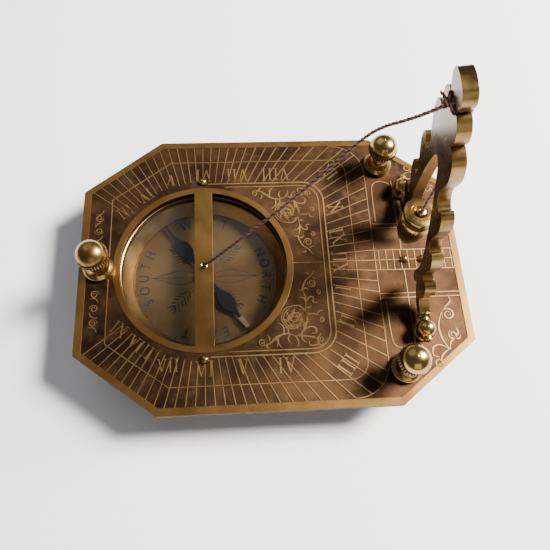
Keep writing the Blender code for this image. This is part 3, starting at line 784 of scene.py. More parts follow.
LATITUDE_DEG = 51.8
SIN_LATITUDE = math.sin(math.radians(LATITUDE_DEG))
FRAME_X = 15.9 * MM  # rounded frame round the compass: outer of its two lines
FRAME_Y = 26.4 * MM
FRAME_CORNER = 6.4 * MM
MIDDLE_X = 23.6 * MM  # middle scale line
MIDDLE_Y = 34.0 * MM
MIDDLE_CORNER = 5.0 * MM
OUTER_X = 29.2 * MM  # outer scale line on the north side
OUTER_CORNER = 9.5 * MM
SOUTH_X = 45.9 * MM
SOUTH_TURN = (29.0 * MM, 34.0 * MM)
SOUTH_CUT_Y = 21.7 * MM
LINE = 0.27 * MM
STEP_DEG = 3.75  # between the scale's lines
INSIDE = BORDER_WIDTH + 0.2 * MM


def hour_angle(hours):
    """Direction of an hour's line from the thread's foot: 0 at noon, positive to the east side."""
    turn = math.radians(15 * hours)
    return math.atan2(SIN_LATITUDE * math.sin(turn), math.cos(turn))


def meets(angle, outline):
    """How far from the thread's foot a ray crosses a closed or open outline; the farthest crossing."""
    direction = Vector((math.cos(angle), -math.sin(angle)))
    origin = Vector((COMPASS_X, 0))
    best = None
    for first, second in zip(outline, outline[1:] + outline[:1]):
        a, b = Vector(first) - origin, Vector(second) - origin
        edge = b - a
        cross = direction.x * edge.y - direction.y * edge.x
        if abs(cross) < 1e-12:
            continue
        along = (a.x * edge.y - a.y * edge.x) / cross
        part = (a.x * direction.y - a.y * direction.x) / cross
        if along > 0 and -1e-6 <= part <= 1 + 1e-6:
            best = along if best is None else max(best, along)
    return best


def rounded_path(x, y, corner, left):
    """From (left, y) round two corners at x back to (left, -y)."""
    points = [(left, y)]
    points += arc(corner, (x - corner, y - corner), 90, 0, 14)
    points += arc(corner, (x - corner, corner - y), 0, -90, 14)
    points.append((left, -y))
    return points


def middle_path():
    """The middle scale line, all the way round."""
    north = rounded_path(MIDDLE_X, MIDDLE_Y, MIDDLE_CORNER, -SOUTH_TURN[0])
    south = [(-SOUTH_X, -SOUTH_CUT_Y), (-SOUTH_X, SOUTH_CUT_Y)]
    return north + south


def outer_path():
    """Where the hour lines end: the border's inner edge, or the outer scale line on the north side."""
    inner = octagon(INSIDE)
    edge_y = inner[2][1]
    north = arc(OUTER_CORNER, (OUTER_X - OUTER_CORNER, edge_y - OUTER_CORNER), 90, 0, 14)
    north += arc(OUTER_CORNER, (OUTER_X - OUTER_CORNER, OUTER_CORNER - edge_y), 0, -90, 14)
    return north + [inner[6], inner[5], inner[4], inner[3], north[0]]


def inner_path():
    """Where the hour lines start: the frame, then a circle just outside the compass ring."""
    start = math.degrees(math.asin((RING_OUTER + 0.9 * MM) / (RING_OUTER + 1.0 * MM)))
    frame_line = rounded_path(FRAME_X, FRAME_Y, FRAME_CORNER, COMPASS_X)
    ring = arc(RING_OUTER + 1.6 * MM, (COMPASS_X, 0), -start, -(360 - start), 60)
    return frame_line + ring


def along_ray(angle, distance):
    """The point a distance from the thread's foot towards an hour angle."""
    return (COMPASS_X + distance * math.cos(angle), -distance * math.sin(angle))


def letter(kind):
    """Strokes of a Roman numeral's letter in units of its height: (points, width), and its advance."""
    thick, thin, foot = 0.092, 0.052, 0.13
    def serif(x, y):
        return ([(x - foot, y), (x + foot, y)], thin)
    if kind == "I":
        return [([(0.18, 0.02), (0.18, 0.98)], thick), serif(0.18, 0.03), serif(0.18, 0.97)], 0.42
    if kind == "V":
        return [
            ([(0.13, 0.97), (0.37, 0.04)], thick), ([(0.37, 0.04), (0.62, 0.97)], thin),
            serif(0.13, 0.97), serif(0.62, 0.97),
        ], 0.78
    return [
        ([(0.12, 0.97), (0.60, 0.03)], thick), ([(0.60, 0.97), (0.12, 0.03)], thin),
        serif(0.12, 0.97), serif(0.60, 0.97), serif(0.12, 0.03), serif(0.60, 0.03),
    ], 0.76


ROMAN = ["XII", "I", "II", "III", "IV", "V", "VI", "VII", "VIII", "IX", "X", "XI"]
NUMERAL_HEIGHT = 4.3 * MM
NUMERAL_INSET = 4.6 * MM  # from the middle scale line to a numeral's middle
SMALL_NUMERAL = 0.86  # of the height, before six in the morning and after six in the evening
NORTH_SIDE_DEG = 47
LONG_SIDE_DEG = 118
CUT_CORNER_FACING_DEG = 127


def numeral_lines(text, centre, facing, height):
    """The numeral's strokes, its foot towards facing (radians in the plate's plane)."""
    strokes, x = [], 0.0
    for kind in text:
        drawn, advance = letter(kind)
        strokes += [([(px + x, py) for px, py in points], width) for points, width in drawn]
        x += advance
    total = x
    up = Vector((-math.cos(facing), -math.sin(facing)))
    along = Vector((up.y, -up.x))
    lines = []
    for points, width in strokes:
        placed = []
        for px, py in points:
            spot = Vector(centre) + along * ((px - total / 2) * height) + up * ((py - 0.5) * height)
            placed.append((spot.x, spot.y))
        lines.append((placed, width * height))
    return lines


def spiral(centre, outer, turns, start_deg, hand=1, inner=0.25, steps=26):
    """A scroll's coil from its outside in."""
    points = []
    count = int(steps * turns)
    for step in range(count + 1):
        part = step / count
        radius = outer * (1 - (1 - inner) * part)
        angle = math.radians(start_deg) + hand * 2 * math.pi * turns * part
        points.append((centre[0] + radius * math.cos(angle), centre[1] + radius * math.sin(angle)))
    return points


def tapered(points, thickest, thinnest=0.16 * MM, peak=0.35):
    """A line that swells to its thickest at a share of its length."""
    widths = []
    last = len(points) - 1
    for index in range(len(points)):
        part = index / last
        swell = part / peak if part < peak else (1 - part) / (1 - peak)
        widths.append(thinnest + (thickest - thinnest) * max(0.0, swell))
    return (points, widths)


def leaf(base, tip, bend, fat):
    """A curved leaf from base to tip."""
    a, b = Vector(base), Vector(tip)
    side = Vector((-(b - a).y, (b - a).x)) * bend
    points = []
    for step in range(9):
        s = step / 8
        points.append(tuple(a.lerp(b, s) + side * (4 * s * (1 - s))))
    return tapered(points, fat)


def scroll_group(flip):
    """Foliage between the compass ring and its frame, beside the hinge, and a vine; flip is 1 or -1."""
    def at(x, y):
        return (x * MM, y * flip * MM)
    lines = []
    def coil(x, y, radius, turns, start, hand, fat):
        points = spiral(at(x, y), radius * MM, turns, start * flip, hand * flip)
        lines.append(tapered(points, fat * MM, 0.2 * MM, 0.3))
    def stem(points, fat):
        curve = smooth_line([at(*point) for point in points], 6)
        lines.append(tapered([tuple(point) for point in curve], fat * MM, 0.2 * MM, 0.5))
    def frond(base, tip, bend, fat):
        lines.append(leaf(at(*base), at(*tip), bend * flip, fat * MM))
    def round_rosette(radius, angle):
        return (4.6 + radius * math.cos(angle), 16.6 + radius * math.sin(angle))
    # the rosette's coils, then its inner and outer petals
    coil(4.6, 16.6, 3.75, 1.3, 250, -1, 0.34)
    coil(4.6, 16.6, 3.1, 1.2, 250, -1, 0.30)
    coil(4.6, 16.6, 1.9, 1.7, 60, 1, 0.40)
    for count, step_deg, start_deg, near, far, twist, bend, fat in (
        (5, 72, 20, 0.5, 1.5, 0.0, 0.25, 0.5), (7, 51, 0, 2.2, 3.1, 0.4, 0.3, 0.42),
    ):
        for turn in range(count):
            angle = math.radians(step_deg * turn + start_deg)
            frond(round_rosette(near, angle), round_rosette(far, angle + twist), bend, fat)
    stem([(3.4, 13.2), (6.2, 12.9), (8.0, 15.0), (8.0, 18.0), (6.4, 20.8), (5.0, 21.6)], 0.55)
    stem([(5.0, 21.6), (2.4, 20.8), (-0.2, 21.6), (-2.4, 23.4), (-4.4, 23.8)], 0.6)
    coil(-4.3, 22.9, 0.95, 1.3, 90, 1, 0.35)
    stem([(7.9, 15.2), (8.3, 11.0), (7.6, 8.2), (8.6, 5.6), (10.4, 4.0), (11.3, 2.6)], 0.5)
    coil(10.3, 6.4, 1.25, 1.6, 200, -1, 0.4)
    stem([(8.1, 12.4), (9.2, 10.6), (10.4, 10.6), (10.2, 11.8)], 0.4)
    stem([(8.3, 15.6), (9.8, 15.4), (11.6, 15.8)], 0.4)
    stem([(6.2, 20.9), (8.4, 19.2), (10.2, 19.4), (10.4, 20.8), (9.2, 20.9)], 0.5)
    stem([(5.0, 21.6), (7.4, 21.6), (10.4, 22.4), (10.6, 24.0), (8.6, 24.2), (8.4, 23.0)], 0.5)
    for base, tip, bend, fat in (
        ((0.2, 21.5), (1.0, 24.6), 0.2, 0.55), ((-1.0, 21.8), (-0.4, 24.3), -0.2, 0.45),
        ((1.4, 21.0), (0.2, 17.6), 0.25, 0.5), ((-2.4, 22.6), (-3.0, 20.9), 0.2, 0.4),
        ((6.8, 20.6), (7.6, 23.4), 0.25, 0.45), ((7.9, 17.2), (6.3, 13.9), 0.3, 0.4),
        ((10.6, 4.4), (12.2, 4.9), 0.2, 0.35),
    ):
        frond(base, tip, bend, fat)
    for base, tip, bend in (
        ((7.9, 9.6), (6.4, 8.4), 0.3), ((7.8, 8.0), (9.2, 8.6), -0.3), ((8.3, 13.4), (9.6, 12.9), 0.3),
        ((7.2, 19.6), (9.0, 17.6), -0.3), ((3.4, 20.9), (3.4, 23.6), 0.25), ((2.6, 20.9), (2.0, 18.9), 0.3),
        ((4.2, 21.3), (5.2, 24.4), -0.2), ((-3.0, 23.3), (-2.2, 24.9), 0.3),
        ((9.0, 22.0), (11.6, 20.9), 0.3),
        ((10.5, 23.4), (12.2, 23.9), 0.3), ((9.6, 3.9), (8.2, 3.4), 0.3),
        ((11.2, 15.7), (12.8, 14.6), -0.3),
        ((9.9, 11.3), (11.6, 11.9), 0.3), ((8.1, 11.6), (6.6, 10.6), 0.3),
    ):
        frond(base, tip, bend, 0.46)
    coil(11.6, 22.6, 0.8, 1.3, 200, -1, 0.32)
    coil(12.2, 17.2, 0.8, 1.3, 240, 1, 0.32)
    coil(11.9, 9.0, 0.75, 1.3, 120, -1, 0.3)
    # scrolls in the plate's north corners
    coil(47.6, 17.0, 1.9, 1.7, 150, 1, 0.42)
    stem([(45.9, 16.2), (44.4, 20.0), (44.8, 24.0), (46.4, 27.0)], 0.6)
    stem([(48.4, 11.4), (48.8, 13.2), (47.2, 14.8), (45.6, 16.6)], 0.45)
    coil(47.9, 22.9, 1.3, 1.4, 240, -1, 0.42)
    stem([(46.5, 27.0), (47.0, 25.0), (49.4, 22.6), (49.0, 21.0)], 0.55)
    stem([(46.4, 27.0), (44.0, 25.6), (42.0, 26.2), (41.6, 28.4), (43.2, 29.0)], 0.55)
    coil(42.9, 30.4, 1.3, 1.2, 20, 1, 0.4)
    frond((46.2, 27.0), (43.4, 31.6), 0.18, 0.6)
    frond((48.6, 24.0), (50.0, 23.2), 0.3, 0.45)
    # vine along the south edge
    for step in range(3):
        y = 7.6 + 4.1 * step
        coil(-49.3, y, 1.15, 1.5, 180 if step % 2 else 0, 1 if step % 2 else -1, 0.36)
        frond((-50.4, y + 1.2), (-48.2, y + 2.5), 0.25 if step % 2 else -0.25, 0.42)
    return lines


def dial_lines():
    """Scale lines, quarter-hour lines, numerals and the ladder by the hinge."""
    lines = []
    inner, middle, outer = inner_path(), middle_path(), outer_path()
    for step in range(-38, 39):
        angle = math.radians(STEP_DEG * step)
        near, far = meets(angle, inner), meets(angle, outer)
        if near is None or far is None:
            continue
        near += 0.1 * MM if step % 4 == 0 else 0.5 * MM
        lines.append(([along_ray(angle, near), along_ray(angle, far + 0.2 * MM)], LINE))
    lines.append((middle, LINE, True))
    lines.append((rounded_path(FRAME_X, FRAME_Y, FRAME_CORNER, COMPASS_X + 1.5 * MM), 0.42 * MM))
    inner_x, inner_y, inner_corner = FRAME_X - 1.5 * MM, FRAME_Y - 1.2 * MM, FRAME_CORNER - 1.3 * MM
    lines.append((rounded_path(inner_x, inner_y, inner_corner, COMPASS_X + 6.4 * MM), 0.34 * MM))
    lines.append((outer[:30], LINE))

    edge = octagon(INSIDE)[0][0] + 0.4 * MM
    lines.append(([(COMPASS_X + RING_OUTER - 0.2 * MM, 0), (inner_x, 0)], LINE))
    for y in (-3.1, 0.0, 3.1):
        lines.append(([(OUTER_X, y * MM), (edge, y * MM)], LINE))
    for rung in range(11):
        x = OUTER_X + (1.2 + 2.1 * rung) * MM
        lines.append(([(x, -3.1 * MM), (x, 3.1 * MM)], 0.26 * MM))
    for side in (-1, 1):
        for y in (10.3, 11.6):
            lines.append(([(OUTER_X, side * y * MM), (edge, side * y * MM)], 0.28 * MM))
        lines.append(([(37.2 * MM, side * 3.1 * MM), (37.2 * MM, side * 26.0 * MM)], 0.28 * MM))
        hook = smooth_line([(30.8, 12.6), (30.9, 22.0), (31.6, 25.2), (34.0, 26.0), (36.6, 25.0)], 6)
        lines.append(([(x * MM, side * y * MM) for x, y in hook], 0.3 * MM))

    for hour in range(-9, 10):
        angle = hour_angle(hour)
        facing = facing_of(angle)
        inset = NUMERAL_INSET / max(0.62, abs(math.cos(angle - facing)))
        spot = along_ray(angle, meets(angle, middle) - inset)
        height = NUMERAL_HEIGHT * (SMALL_NUMERAL if abs(hour) > 6 else 1.0)
        lines += numeral_lines(ROMAN[hour % 12], spot, -facing, height)
    return lines


def facing_of(angle):
    """Where a numeral's foot points: along its hour line to the north, square to the edge elsewhere."""
    if abs(angle) < math.radians(NORTH_SIDE_DEG):
        return angle
    square = 90 if abs(angle) < math.radians(LONG_SIDE_DEG) else CUT_CORNER_FACING_DEG
    return math.copysign(math.radians(square), angle)


def etching():
    """The raised lines and foliage on the field."""
    for name, lines in (("dial_lines", dial_lines()), ("dial_foliage", scroll_group(1) + scroll_group(-1))):
        relief(name, lines, FIELD_TOP - 0.05 * MM, PLATE_TOP, LINES, "plate")


# ------------------------------------------------------------------ the compass
def compass():
    """The sunk cup, its window and ring, and the card with its slope, rim and print."""
    wall = GLASS_RADIUS + 0.3 * MM
    ledge = wall - 0.8 * MM
    low, high = bowl_low.z, bowl_high.z
    shelf = glass_low.z - 0.3 * MM
    profile = [(0, low)] + over(low, [(-0.8, 0), (-0.25, 0.2), (0, 0.8)], BOWL_RADIUS)
    profile += [(BOWL_RADIUS, high), (wall, high), (wall, shelf), (ledge, shelf)]
    profile += over(low, [(-0.05, 1.6), (-0.4, 1.05)], ledge) + [(0, low + 1.0 * MM)]
    cup = lathe("bowl", profile, COMPASS, ROUND)
    reach = bowl_high.y
    for side in (-1, 1):
        half, start = 3.0 * MM, BOWL_RADIUS - 0.6 * MM
        ear = [(COMPASS_X + half, side * start), (COMPASS_X + half, side * (reach - half))]
        sweep = arc(half, (COMPASS_X, side * (reach - half)), 0, side * 180, 16)
        ear = [ear[0]] + sweep + [(COMPASS_X - half, side * start)]
        lug = slab("ear", ear, high - 0.8 * MM, high)
        cup = join([cup, lug])
    finished(cup, "compass_cup", BOWL, "plate", ["compass_bowl"])

    profile = [(0, glass_low.z)] + over(glass_low.z, [(-0.15, 0), (0, 0.15)], GLASS_RADIUS)
    profile += over(glass_high.z, [(0, -0.15), (-0.15, 0)], GLASS_RADIUS) + [(0, glass_high.z)]
    pane = lathe("pane", profile, COMPASS, ROUND)
    finished(pane, "window_pane", GLASS, "plate", ["compass_glass"])

    ring_low, ring_high = corners("glass_ring")
    outer = (ring_high.x - ring_low.x) / 2
    profile = over(ring_low.z, [(-0.9, 0), (0, 0)], outer)
    profile += over(ring_high.z, [(0, 0), (-0.45, 0), (-0.8, -0.2)], outer)
    turned("glass_retaining_ring", profile, COMPASS, ROUND, "plate", "glass_ring", closed=True)

    profile = [(0.7 * MM, card_low.z), (CARD_RADIUS, card_low.z)]
    profile += over(CARD_TOP, [(0, -0.1), (-0.1, 0)], CARD_RADIUS) + [(0.7 * MM, CARD_TOP)]
    disc = lathe("card", profile, COMPASS, ROUND, closed=True)
    finished(disc, "compass_rose_card", CARD, "plate", ["compass_card"])

    low_z, top_z = CARD_TOP - 0.02 * MM, CARD_TOP + 0.03 * MM
    profile = over(CARD_TOP, [(-2.6, 0.02)], CARD_RADIUS) + over(CARD_TOP, [(-0.15, 0.02)], ledge)
    profile += over(glass_low.z, [(-0.15, -0.35), (-0.5, -0.35), (-1.5, -1.7)], ledge)
    profile += over(CARD_TOP, [(-2.4, 0.35)], CARD_RADIUS)
    slope = lathe("slope", profile, COMPASS, ROUND, closed=True)
    finished(slope, "bowl_inner_slope", BOWL, "plate")
    rim = [(circle(CARD_RADIUS - 2.75 * MM), 0.28 * MM, True)]
    relief("card_rim_line", rim, low_z, CARD_TOP + 0.15 * MM, BRASS, "plate")
    relief("card_print", card_print(), low_z, top_z, INK, "plate")
    card_words()


def card_print():
    """The rose: long petals on the meridian and the west-east line, and flowering sprigs between them."""
    lines = []
    for quarter in range(4):
        turn = math.radians(90 * quarter)
        length = 15.0 if quarter % 2 == 0 else 11.5
        def spin(x, y, angle=turn):
            c, s = math.cos(angle), math.sin(angle)
            return (COMPASS_X + (x * c - y * s) * MM, (x * s + y * c) * MM)
        for bend in (-1, 0, 1):
            petal = []
            for step in range(17):
                s = step / 16
                swell = 2.5 * bend * math.sin(math.pi * min(1.0, s ** 0.8)) * (1 - 0.35 * s)
                petal.append(spin(2.0 + (length - 2.0) * s, swell))
            lines.append((petal, 0.17 * MM))
        lines.append(([spin(length, 0), spin(length + 1.0, 0)], 0.12 * MM))
        diagonal = turn + math.radians(45)
        stem = [spin(3.0 + 9.5 * s / 8, 0.5 * math.sin(s / 8 * 3.0), diagonal) for s in range(9)]
        lines.append((stem, 0.14 * MM))
        for index, reach in enumerate((1.4, 2.0, 2.2, 2.0, 1.6, 1.2)):
            x = 6.4 + 1.15 * index
            for side in (-1, 1):
                blade = [spin(x, 0, diagonal), spin(x + 0.9, side * reach * 0.6, diagonal)]
                blade.append(spin(x + 1.5, side * reach, diagonal))
                lines.append((blade, [0.10 * MM, 0.34 * MM, 0.12 * MM]))
        for side in (-1, 0, 1):
            petal = [spin(x, side * y, diagonal) for x, y in ((12.4, 0), (13.4, 0.8), (14.6, 1.2))]
            lines.append((petal, [0.12 * MM, 0.45 * MM, 0.14 * MM]))
    for degree in range(0, 360, 5):
        angle = math.radians(degree)
        start = CARD_RADIUS - (3.7 if degree % 15 else 4.1) * MM
        stop = CARD_RADIUS - 3.1 * MM
        c, s = math.cos(angle), math.sin(angle)
        lines.append(([(COMPASS_X + start * c, start * s), (COMPASS_X + stop * c, stop * s)], 0.10 * MM))
    return lines


LETTER_STEP_DEG = 12.4


def card_words():
    """The four winds' names round the card, their letters' tops outward."""
    letters = []
    radius = CARD_RADIUS - 6.9 * MM
    for word, bearing in (("NORTH", 0), ("WEST", 90), ("SOUTH", 180), ("EAST", 270)):
        for index, character in enumerate(word):
            angle = math.radians(bearing - (index - (len(word) - 1) / 2) * LETTER_STEP_DEG)
            bpy.ops.object.text_add()
            text = bpy.context.object
            text.data.body = character
            text.data.size = 4.2 * MM
            text.data.offset = 0.04 * MM
            text.data.extrude = 0.025 * MM
            text.data.align_x = "CENTER"
            text.rotation_euler.z = angle - math.pi / 2
            text.scale.x = 0.8
            x, y = COMPASS_X + radius * math.cos(angle), radius * math.sin(angle)
            text.location = (x, y, CARD_TOP + 0.01 * MM)
            activate(text)
            bpy.ops.object.convert(target="MESH")
            letters.append(bpy.context.object)
    finished(join(letters), "card_words", INK, "plate")


NEEDLE_BEARING_DEG = -53.9


def needle():
    """The club-shaped needle, its pale tip, its cap and the pin it turns on."""
    low, high = corners("compass_needle")
    bearing = math.radians(NEEDLE_BEARING_DEG)
    side = [
        (1.8, 0.62), (5.6, 0.66), (7.2, 1.2), (8.6, 2.02), (10.4, 2.18), (12.0, 2.0), (13.2, 1.3),
        (14.4, 0.66), (15.8, 0.50), (20.2, 0.34),
    ]
    curve = [(point.x * MM, point.y * MM) for point in smooth_line(side, 5)]
    hub = arc(2.35 * MM, (0, 0), 17, 163, 18)
    outline = [(x, y) for x, y in reversed(curve)] + hub[1:-1] + [(-x, y) for x, y in curve]
    outline += [(-x, -y) for x, y in reversed(curve)] + [(x, -y) for x, y in reversed(hub[1:-1])]
    outline += [(x, -y) for x, y in curve]
    blade = slab("blade", outline, low.z, high.z)
    soften(blade, 0.1 * MM)
    blade.rotation_euler.z = bearing
    blade.location.x = COMPASS_X
    finished(blade, "needle_blade", STEEL, "needle", ["compass_needle"], flats=True)
    sleeve = [(x * MM, y * MM) for x, y in ((16.4, -0.80), (20.2, -0.62), (20.2, 0.62), (16.4, 0.80))]
    tip = slab("tip", sleeve, low.z - 0.03 * MM, high.z + 0.04 * MM)
    tip.rotation_euler.z = bearing
    tip.location.x = COMPASS_X
    finished(tip, "needle_south_tip", SILVERED, "needle")
    cap_low, cap_high = corners("needle_cap")
    profile = over(cap_low.z, [(0.8, 0), (1.2, 0)])
    profile += over(high.z, [(1.2, 0.1), (1.7, 0.1), (1.72, 0.4), (1.3, 0.85)])
    profile += over(cap_high.z, [(0.6, -0.05), (0, 0), (0, -0.4)]) + over(cap_low.z, [(0.8, 0.6)])
    turned("needle_jewel_cap", profile, COMPASS, 40, "needle", "needle_cap", closed=True)
    pin_low, pin_high = corners("needle_pivot")
    profile = over(pin_low.z, [(0, 0), (0.5, 0)])
    profile += over(CARD_TOP, [(0.5, 0.1), (1.1, 0.1), (1.0, 0.45), (0.4, 0.6)]) + [(0, pin_high.z)]
    turned("pivot_pin", profile, COMPASS, 32, "plate", "needle_pivot")


# ------------------------------------------------------------------ pins, posts and screws
def domed(node, name, radius):
    """A domed head on the plate and the shank under it."""
    low, high = corners(node)
    seat = PLATE_TOP + 0.02 * MM
    foot = PLATE_UNDER - (0.2 * MM if node.startswith("meridian") else 1.2 * MM)
    profile = over(low.z, [(0, 0), (1.1, 0.1)]) + [(1.4 * MM, foot), (0.7 * MM, foot), (0.7 * MM, seat)]
    for degrees in range(0, 91, 10):
        angle = math.radians(degrees)
        profile.append((radius * math.cos(angle), seat + (high.z - seat) * math.sin(angle)))
    turned(name, profile, (*middle_of(node), 0), 40, "plate", node)


def post(side):
    """A ball-topped post with the bore for the arm's pin."""
    node = f"hinge_post_{side}"
    low = corners(node)[0]
    x, y = middle_of(node)
    ball = 2.7 * MM
    neck = math.radians(-56)
    profile = over(low.z, [(0, 0), (1.5, 0.1)]) + over(PLATE_UNDER, [(1.9, -0.3), (1.2, -0.3)])
    profile += over(PLATE_TOP, [(1.2, 0), (2.45, 0.02), (2.5, 0.45), (2.2, 0.75), (1.62, 0.85)])
    for step in range(22):
        angle = neck + (math.radians(84) - neck) * step / 21
        profile.append((ball * math.cos(angle), HINGE.z + ball * math.sin(angle)))
    profile += [(0.16 * MM, HINGE.z + ball - 0.10 * MM), (0, HINGE.z + ball - 0.22 * MM)]
    ball_post = lathe(f"post_{side}", profile, (x, y, 0), 64)
    activate(ball_post)
    bpy.ops.object.transform_apply(location=True, rotation=True, scale=True)
    bpy.ops.mesh.primitive_cylinder_add(
        vertices=40, radius=1.45 * MM, depth=8 * MM, location=(x, y, HINGE.z), rotation=(math.pi / 2, 0, 0)
    )
    subtract(ball_post, bpy.context.object)
    finished(ball_post, f"ball_post_{side}", BRASS, "plate", [node])


HEAD_RADIUS = 4.2 * MM
TEETH_COUNT = 34
KNURL_DEPTH = 0.09  # share of the head's radius
CREST_RADIUS = 1.75 * MM
ROOT_RADIUS = 1.48 * MM
SHANK_RADIUS = 1.62 * MM
SCREW_GROOVE = 0.5 * MM  # from crest to crest


def thumb_screw(side):
    """Boss, knurled and domed thumb screw with its turned thread, and the foot pad."""
    node = f"level_screw_{side}"
    x, y = middle_of(node)
    boss_top = corners(f"level_boss_{side}")[1].z
    profile = over(PLATE_TOP, [(2.15, 0), (4.15, 0), (4.2, 0.2), (4.2, 1.35), (4.0, 1.65), (3.3, 2.2)])
    profile += over(boss_top, [(2.85, -0.35), (2.7, 0), (2.15, 0)])
    turned(f"screw_boss_{side}", profile, (x, y, 0), 72, "plate", f"level_boss_{side}", closed=True)

    low, high = corners(node)
    head = PLATE_TOP + 7.2 * MM
    profile = over(low.z, [(0, 0), (0.7, 0.15), (1.15, 0.8), (1.2, 2.1)])
    z = low.z + 2.5 * MM
    while z < PLATE_TOP + 4.4 * MM:
        profile += [(CREST_RADIUS, z), (ROOT_RADIUS, z + SCREW_GROOVE / 2)]
        z += SCREW_GROOVE
    profile += [(CREST_RADIUS, z), (SHANK_RADIUS, z + 0.1 * MM), (SHANK_RADIUS, head - 0.5 * MM)]
    band_low = head + 0.9 * MM
    band_high = band_low + 1.8 * MM
    profile += over(head, [(1.95, 0), (2.9, 0.25)])
    profile += [(HEAD_RADIUS - 0.55 * MM, band_low - 0.1 * MM), (0, band_low)]
    stem = lathe("stem", profile, (x, y, 0), 48)

    bpy.ops.mesh.primitive_cylinder_add(
        vertices=4 * TEETH_COUNT, radius=HEAD_RADIUS, depth=band_high - band_low,
        location=(x, y, (band_low + band_high) / 2),
    )
    band = bpy.context.object
    for finish in (BRASS, KNURL_GROOVE_SHADE, KNURL_TEETH_HIGHLIGHT):
        band.data.materials.append(finish)
    for vertex in band.data.vertices:
        wave = math.cos(math.atan2(vertex.co.y, vertex.co.x) * TEETH_COUNT)
        scale = 1 - KNURL_DEPTH * (0.5 - 0.5 * wave)
        vertex.co.x *= scale
        vertex.co.y *= scale
    # the side faces in the grooves get the painted shade, those on the teeth get the painted highlight
    for face in band.data.polygons:
        wave = math.cos(math.atan2(face.center.y, face.center.x) * TEETH_COUNT)
        if abs(face.normal.z) < 0.5:
            face.material_index = 1 if wave < 0 else 2

    rise = high.z - band_high
    crown_radius = HEAD_RADIUS - 0.26 * MM
    dome = [(crown_radius, band_high - 0.2 * MM)]
    for angle in range(0, 85, 6):
        a = math.radians(angle)
        dome.append((crown_radius * math.cos(a), band_high + rise * math.sin(a)))
    dome += over(high.z, [(0.26, -0.01), (0.16, -0.05), (0, -0.12)])
    crown = lathe("crown", [(0, band_high - 0.2 * MM)] + dome, (x, y, 0), 72)
    for piece in (stem, crown):
        piece.data.materials.append(BRASS)
    screw = join([band, stem, crown])
    finished(screw, f"thumb_screw_{side}", None, f"screw_{side}", [node])

    pad_low, pad_high = corners(f"foot_pad_{side}")
    profile = over(pad_low.z, [(0, 0), (2.9, 0), (3.2, 0.25), (3.2, 1.05), (2.9, 1.4)])
    profile += over(pad_high.z, [(2.2, 0), (1.6, 0)]) + over(pad_low.z, [(1.55, 0.75), (0, 0.7)])
    turned(f"swivel_pad_{side}", profile, (x, y, 0), 64, f"pad_{side}", f"foot_pad_{side}")


# ------------------------------------------------------------------ the arm and the bob
ARM_FOOT = 18.0
ARM_HALF_OUTLINE = [
    (0, 72.8), (2.6, 72.2), (3.8, 70.2), (3.2, 67.8), (1.9, 65.8, True),
    (3.6, 66.2), (5.4, 64.4), (5.6, 61.4), (4.4, 59.0, True),
    (6.0, 59.0), (8.0, 57.6), (8.6, 53.6), (7.4, 49.2), (6.2, 45.8), (6.8, 42.6), (8.6, 41.6),
    (9.8, 43.4), (11.4, 42.4), (12.0, 38.6), (10.8, 33.6), (9.6, 29.6), (10.2, 26.8), (11.6, 26.4),
    (12.4, 28.2), (14.0, 27.2), (14.4, 23.2), (12.8, 18.0), (12.0, 14.4), (13.2, 13.2),
    (14.4, 14.8), (16.2, 14.0), (16.4, 10.2), (14.6, 6.4), (15.0, 3.4), (ARM_FOOT, 1.5, True),
    (ARM_FOOT, -1.5, True), (14.4, -1.3), (11.6, 1.0), (9.8, 4.2, True), (8.8, 2.0),
    (7.2, 1.4), (6.6, 3.6), (7.4, 7.0), (8.6, 12.0), (8.5, 20.0), (6.6, 30.0), (4.2, 40.0), (1.6, 47.4),
    (0, 49.0),
]


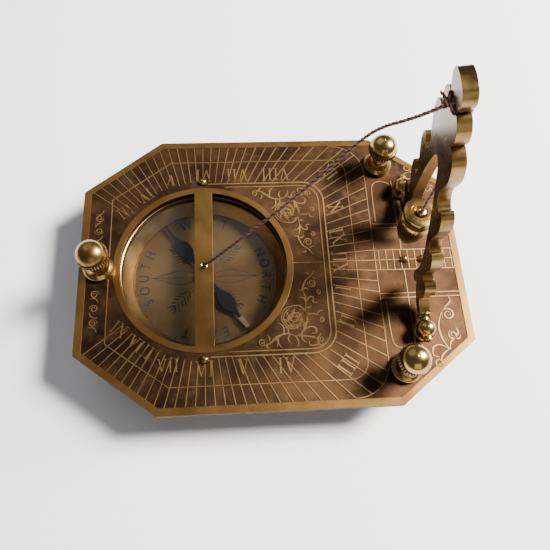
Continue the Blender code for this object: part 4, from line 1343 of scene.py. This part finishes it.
def arm():
    """The scrolled arm and its two collared pins."""
    half = smooth_line(ARM_HALF_OUTLINE, 6)
    outline = [(point.x * MM, point.y * MM) for point in half]
    outline += [(-x, y) for x, y in reversed(outline[1:-1])]
    sheet = slab("arm", outline, -ARM_THICKNESS / 2, ARM_THICKNESS / 2)
    soften(sheet, 0.28 * MM, 3, 70)
    sheet.data.materials.append(ARM_FACE)
    sheet.data.materials.append(ARM_EDGE)
    for face in sheet.data.polygons:
        face.material_index = 0 if abs(face.normal.z) > 0.9 else 1
    stand = Matrix(((0, 0, 1, 0), (1, 0, 0, 0), (0, 1, 0, 0), (0, 0, 0, 1)))
    lean = Matrix.Rotation(-ARM_LEAN, 4, "Y")
    sheet.data.transform(Matrix.Translation(HINGE) @ lean @ stand)
    finished(sheet, "scrolled_arm", None, "arm", ["gnomon_arm"], flats=True)

    pins = []
    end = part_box("gnomon_arm")[1][1]
    profile = over(ARM_FOOT * MM, [
        (0, -1.4), (1.2, -1.4), (1.25, -0.3), (1.9, -0.1), (1.95, 0.35), (1.6, 0.5), (1.9, 0.65),
        (1.75, 0.95), (1.2, 1.05),
    ]) + over(end, [(1.2, -0.5), (0.9, -0.12), (0.4, 0), (0, 0)])
    for sign in (-1, 1):
        pin = lathe("pin", profile, (0, 0, 0), 48)
        pin.rotation_euler.x = -sign * math.pi / 2
        pin.location = HINGE
        activate(pin)
        bpy.ops.object.transform_apply(location=True, rotation=True, scale=True)
        pins.append(pin)
    finished(join(pins), "arm_pins", BRASS, "arm")


def bob():
    """The turned bob and the plug that holds its thread."""
    low, high = corners("plumb_bob")
    place = (*middle_of("plumb_bob"), 0)
    profile = over(high.z, [
        (0, -0.9), (1.6, -0.9), (1.6, -0.1), (1.75, 0), (2.25, 0), (2.35, -0.08), (2.45, 0), (3.75, 0),
        (4.02, -0.12), (4.1, -0.35), (4.1, -1.45), (3.95, -1.65), (3.1, -1.8), (2.95, -2.4), (3.1, -3.1),
        (3.75, -3.5), (4.02, -4.2), (4.05, -5.6), (3.95, -7.4), (3.6, -9.4), (2.9, -11.6), (2.0, -13.6),
        (1.0, -15.4), (0.55, -16.2),
    ]) + over(low.z, [(0.35, 0.1), (0, 0)])
    turned("turned_bob", profile, place, 72, "plumb", "plumb_bob")
    low, high = corners("plumb_cap")
    profile = over(low.z, [(0, 0), (1.3, 0)])
    profile += over(high.z, [(1.3, -0.35), (1.1, -0.1), (0.7, 0), (0.45, -0.15), (0, -0.3)])
    turned("turned_bob_cap", profile, place, 40, "plumb", "plumb_cap")


# ------------------------------------------------------------------ the whole sundial
stage()
plate()
etching()
compass()
needle()
for side_name in ("west", "east"):
    domed(f"bowl_rivet_{side_name}", f"rivet_{side_name}", 1.2 * MM)
    post(side_name)
for side_name in ("south", "north"):
    domed(f"meridian_stud_{side_name}", f"stud_{side_name}", 1.1 * MM)
for side_name in ("south", "west", "east"):
    thumb_screw(side_name)
arm()
bob()
stopper_knot()
threads()
waist_binding()
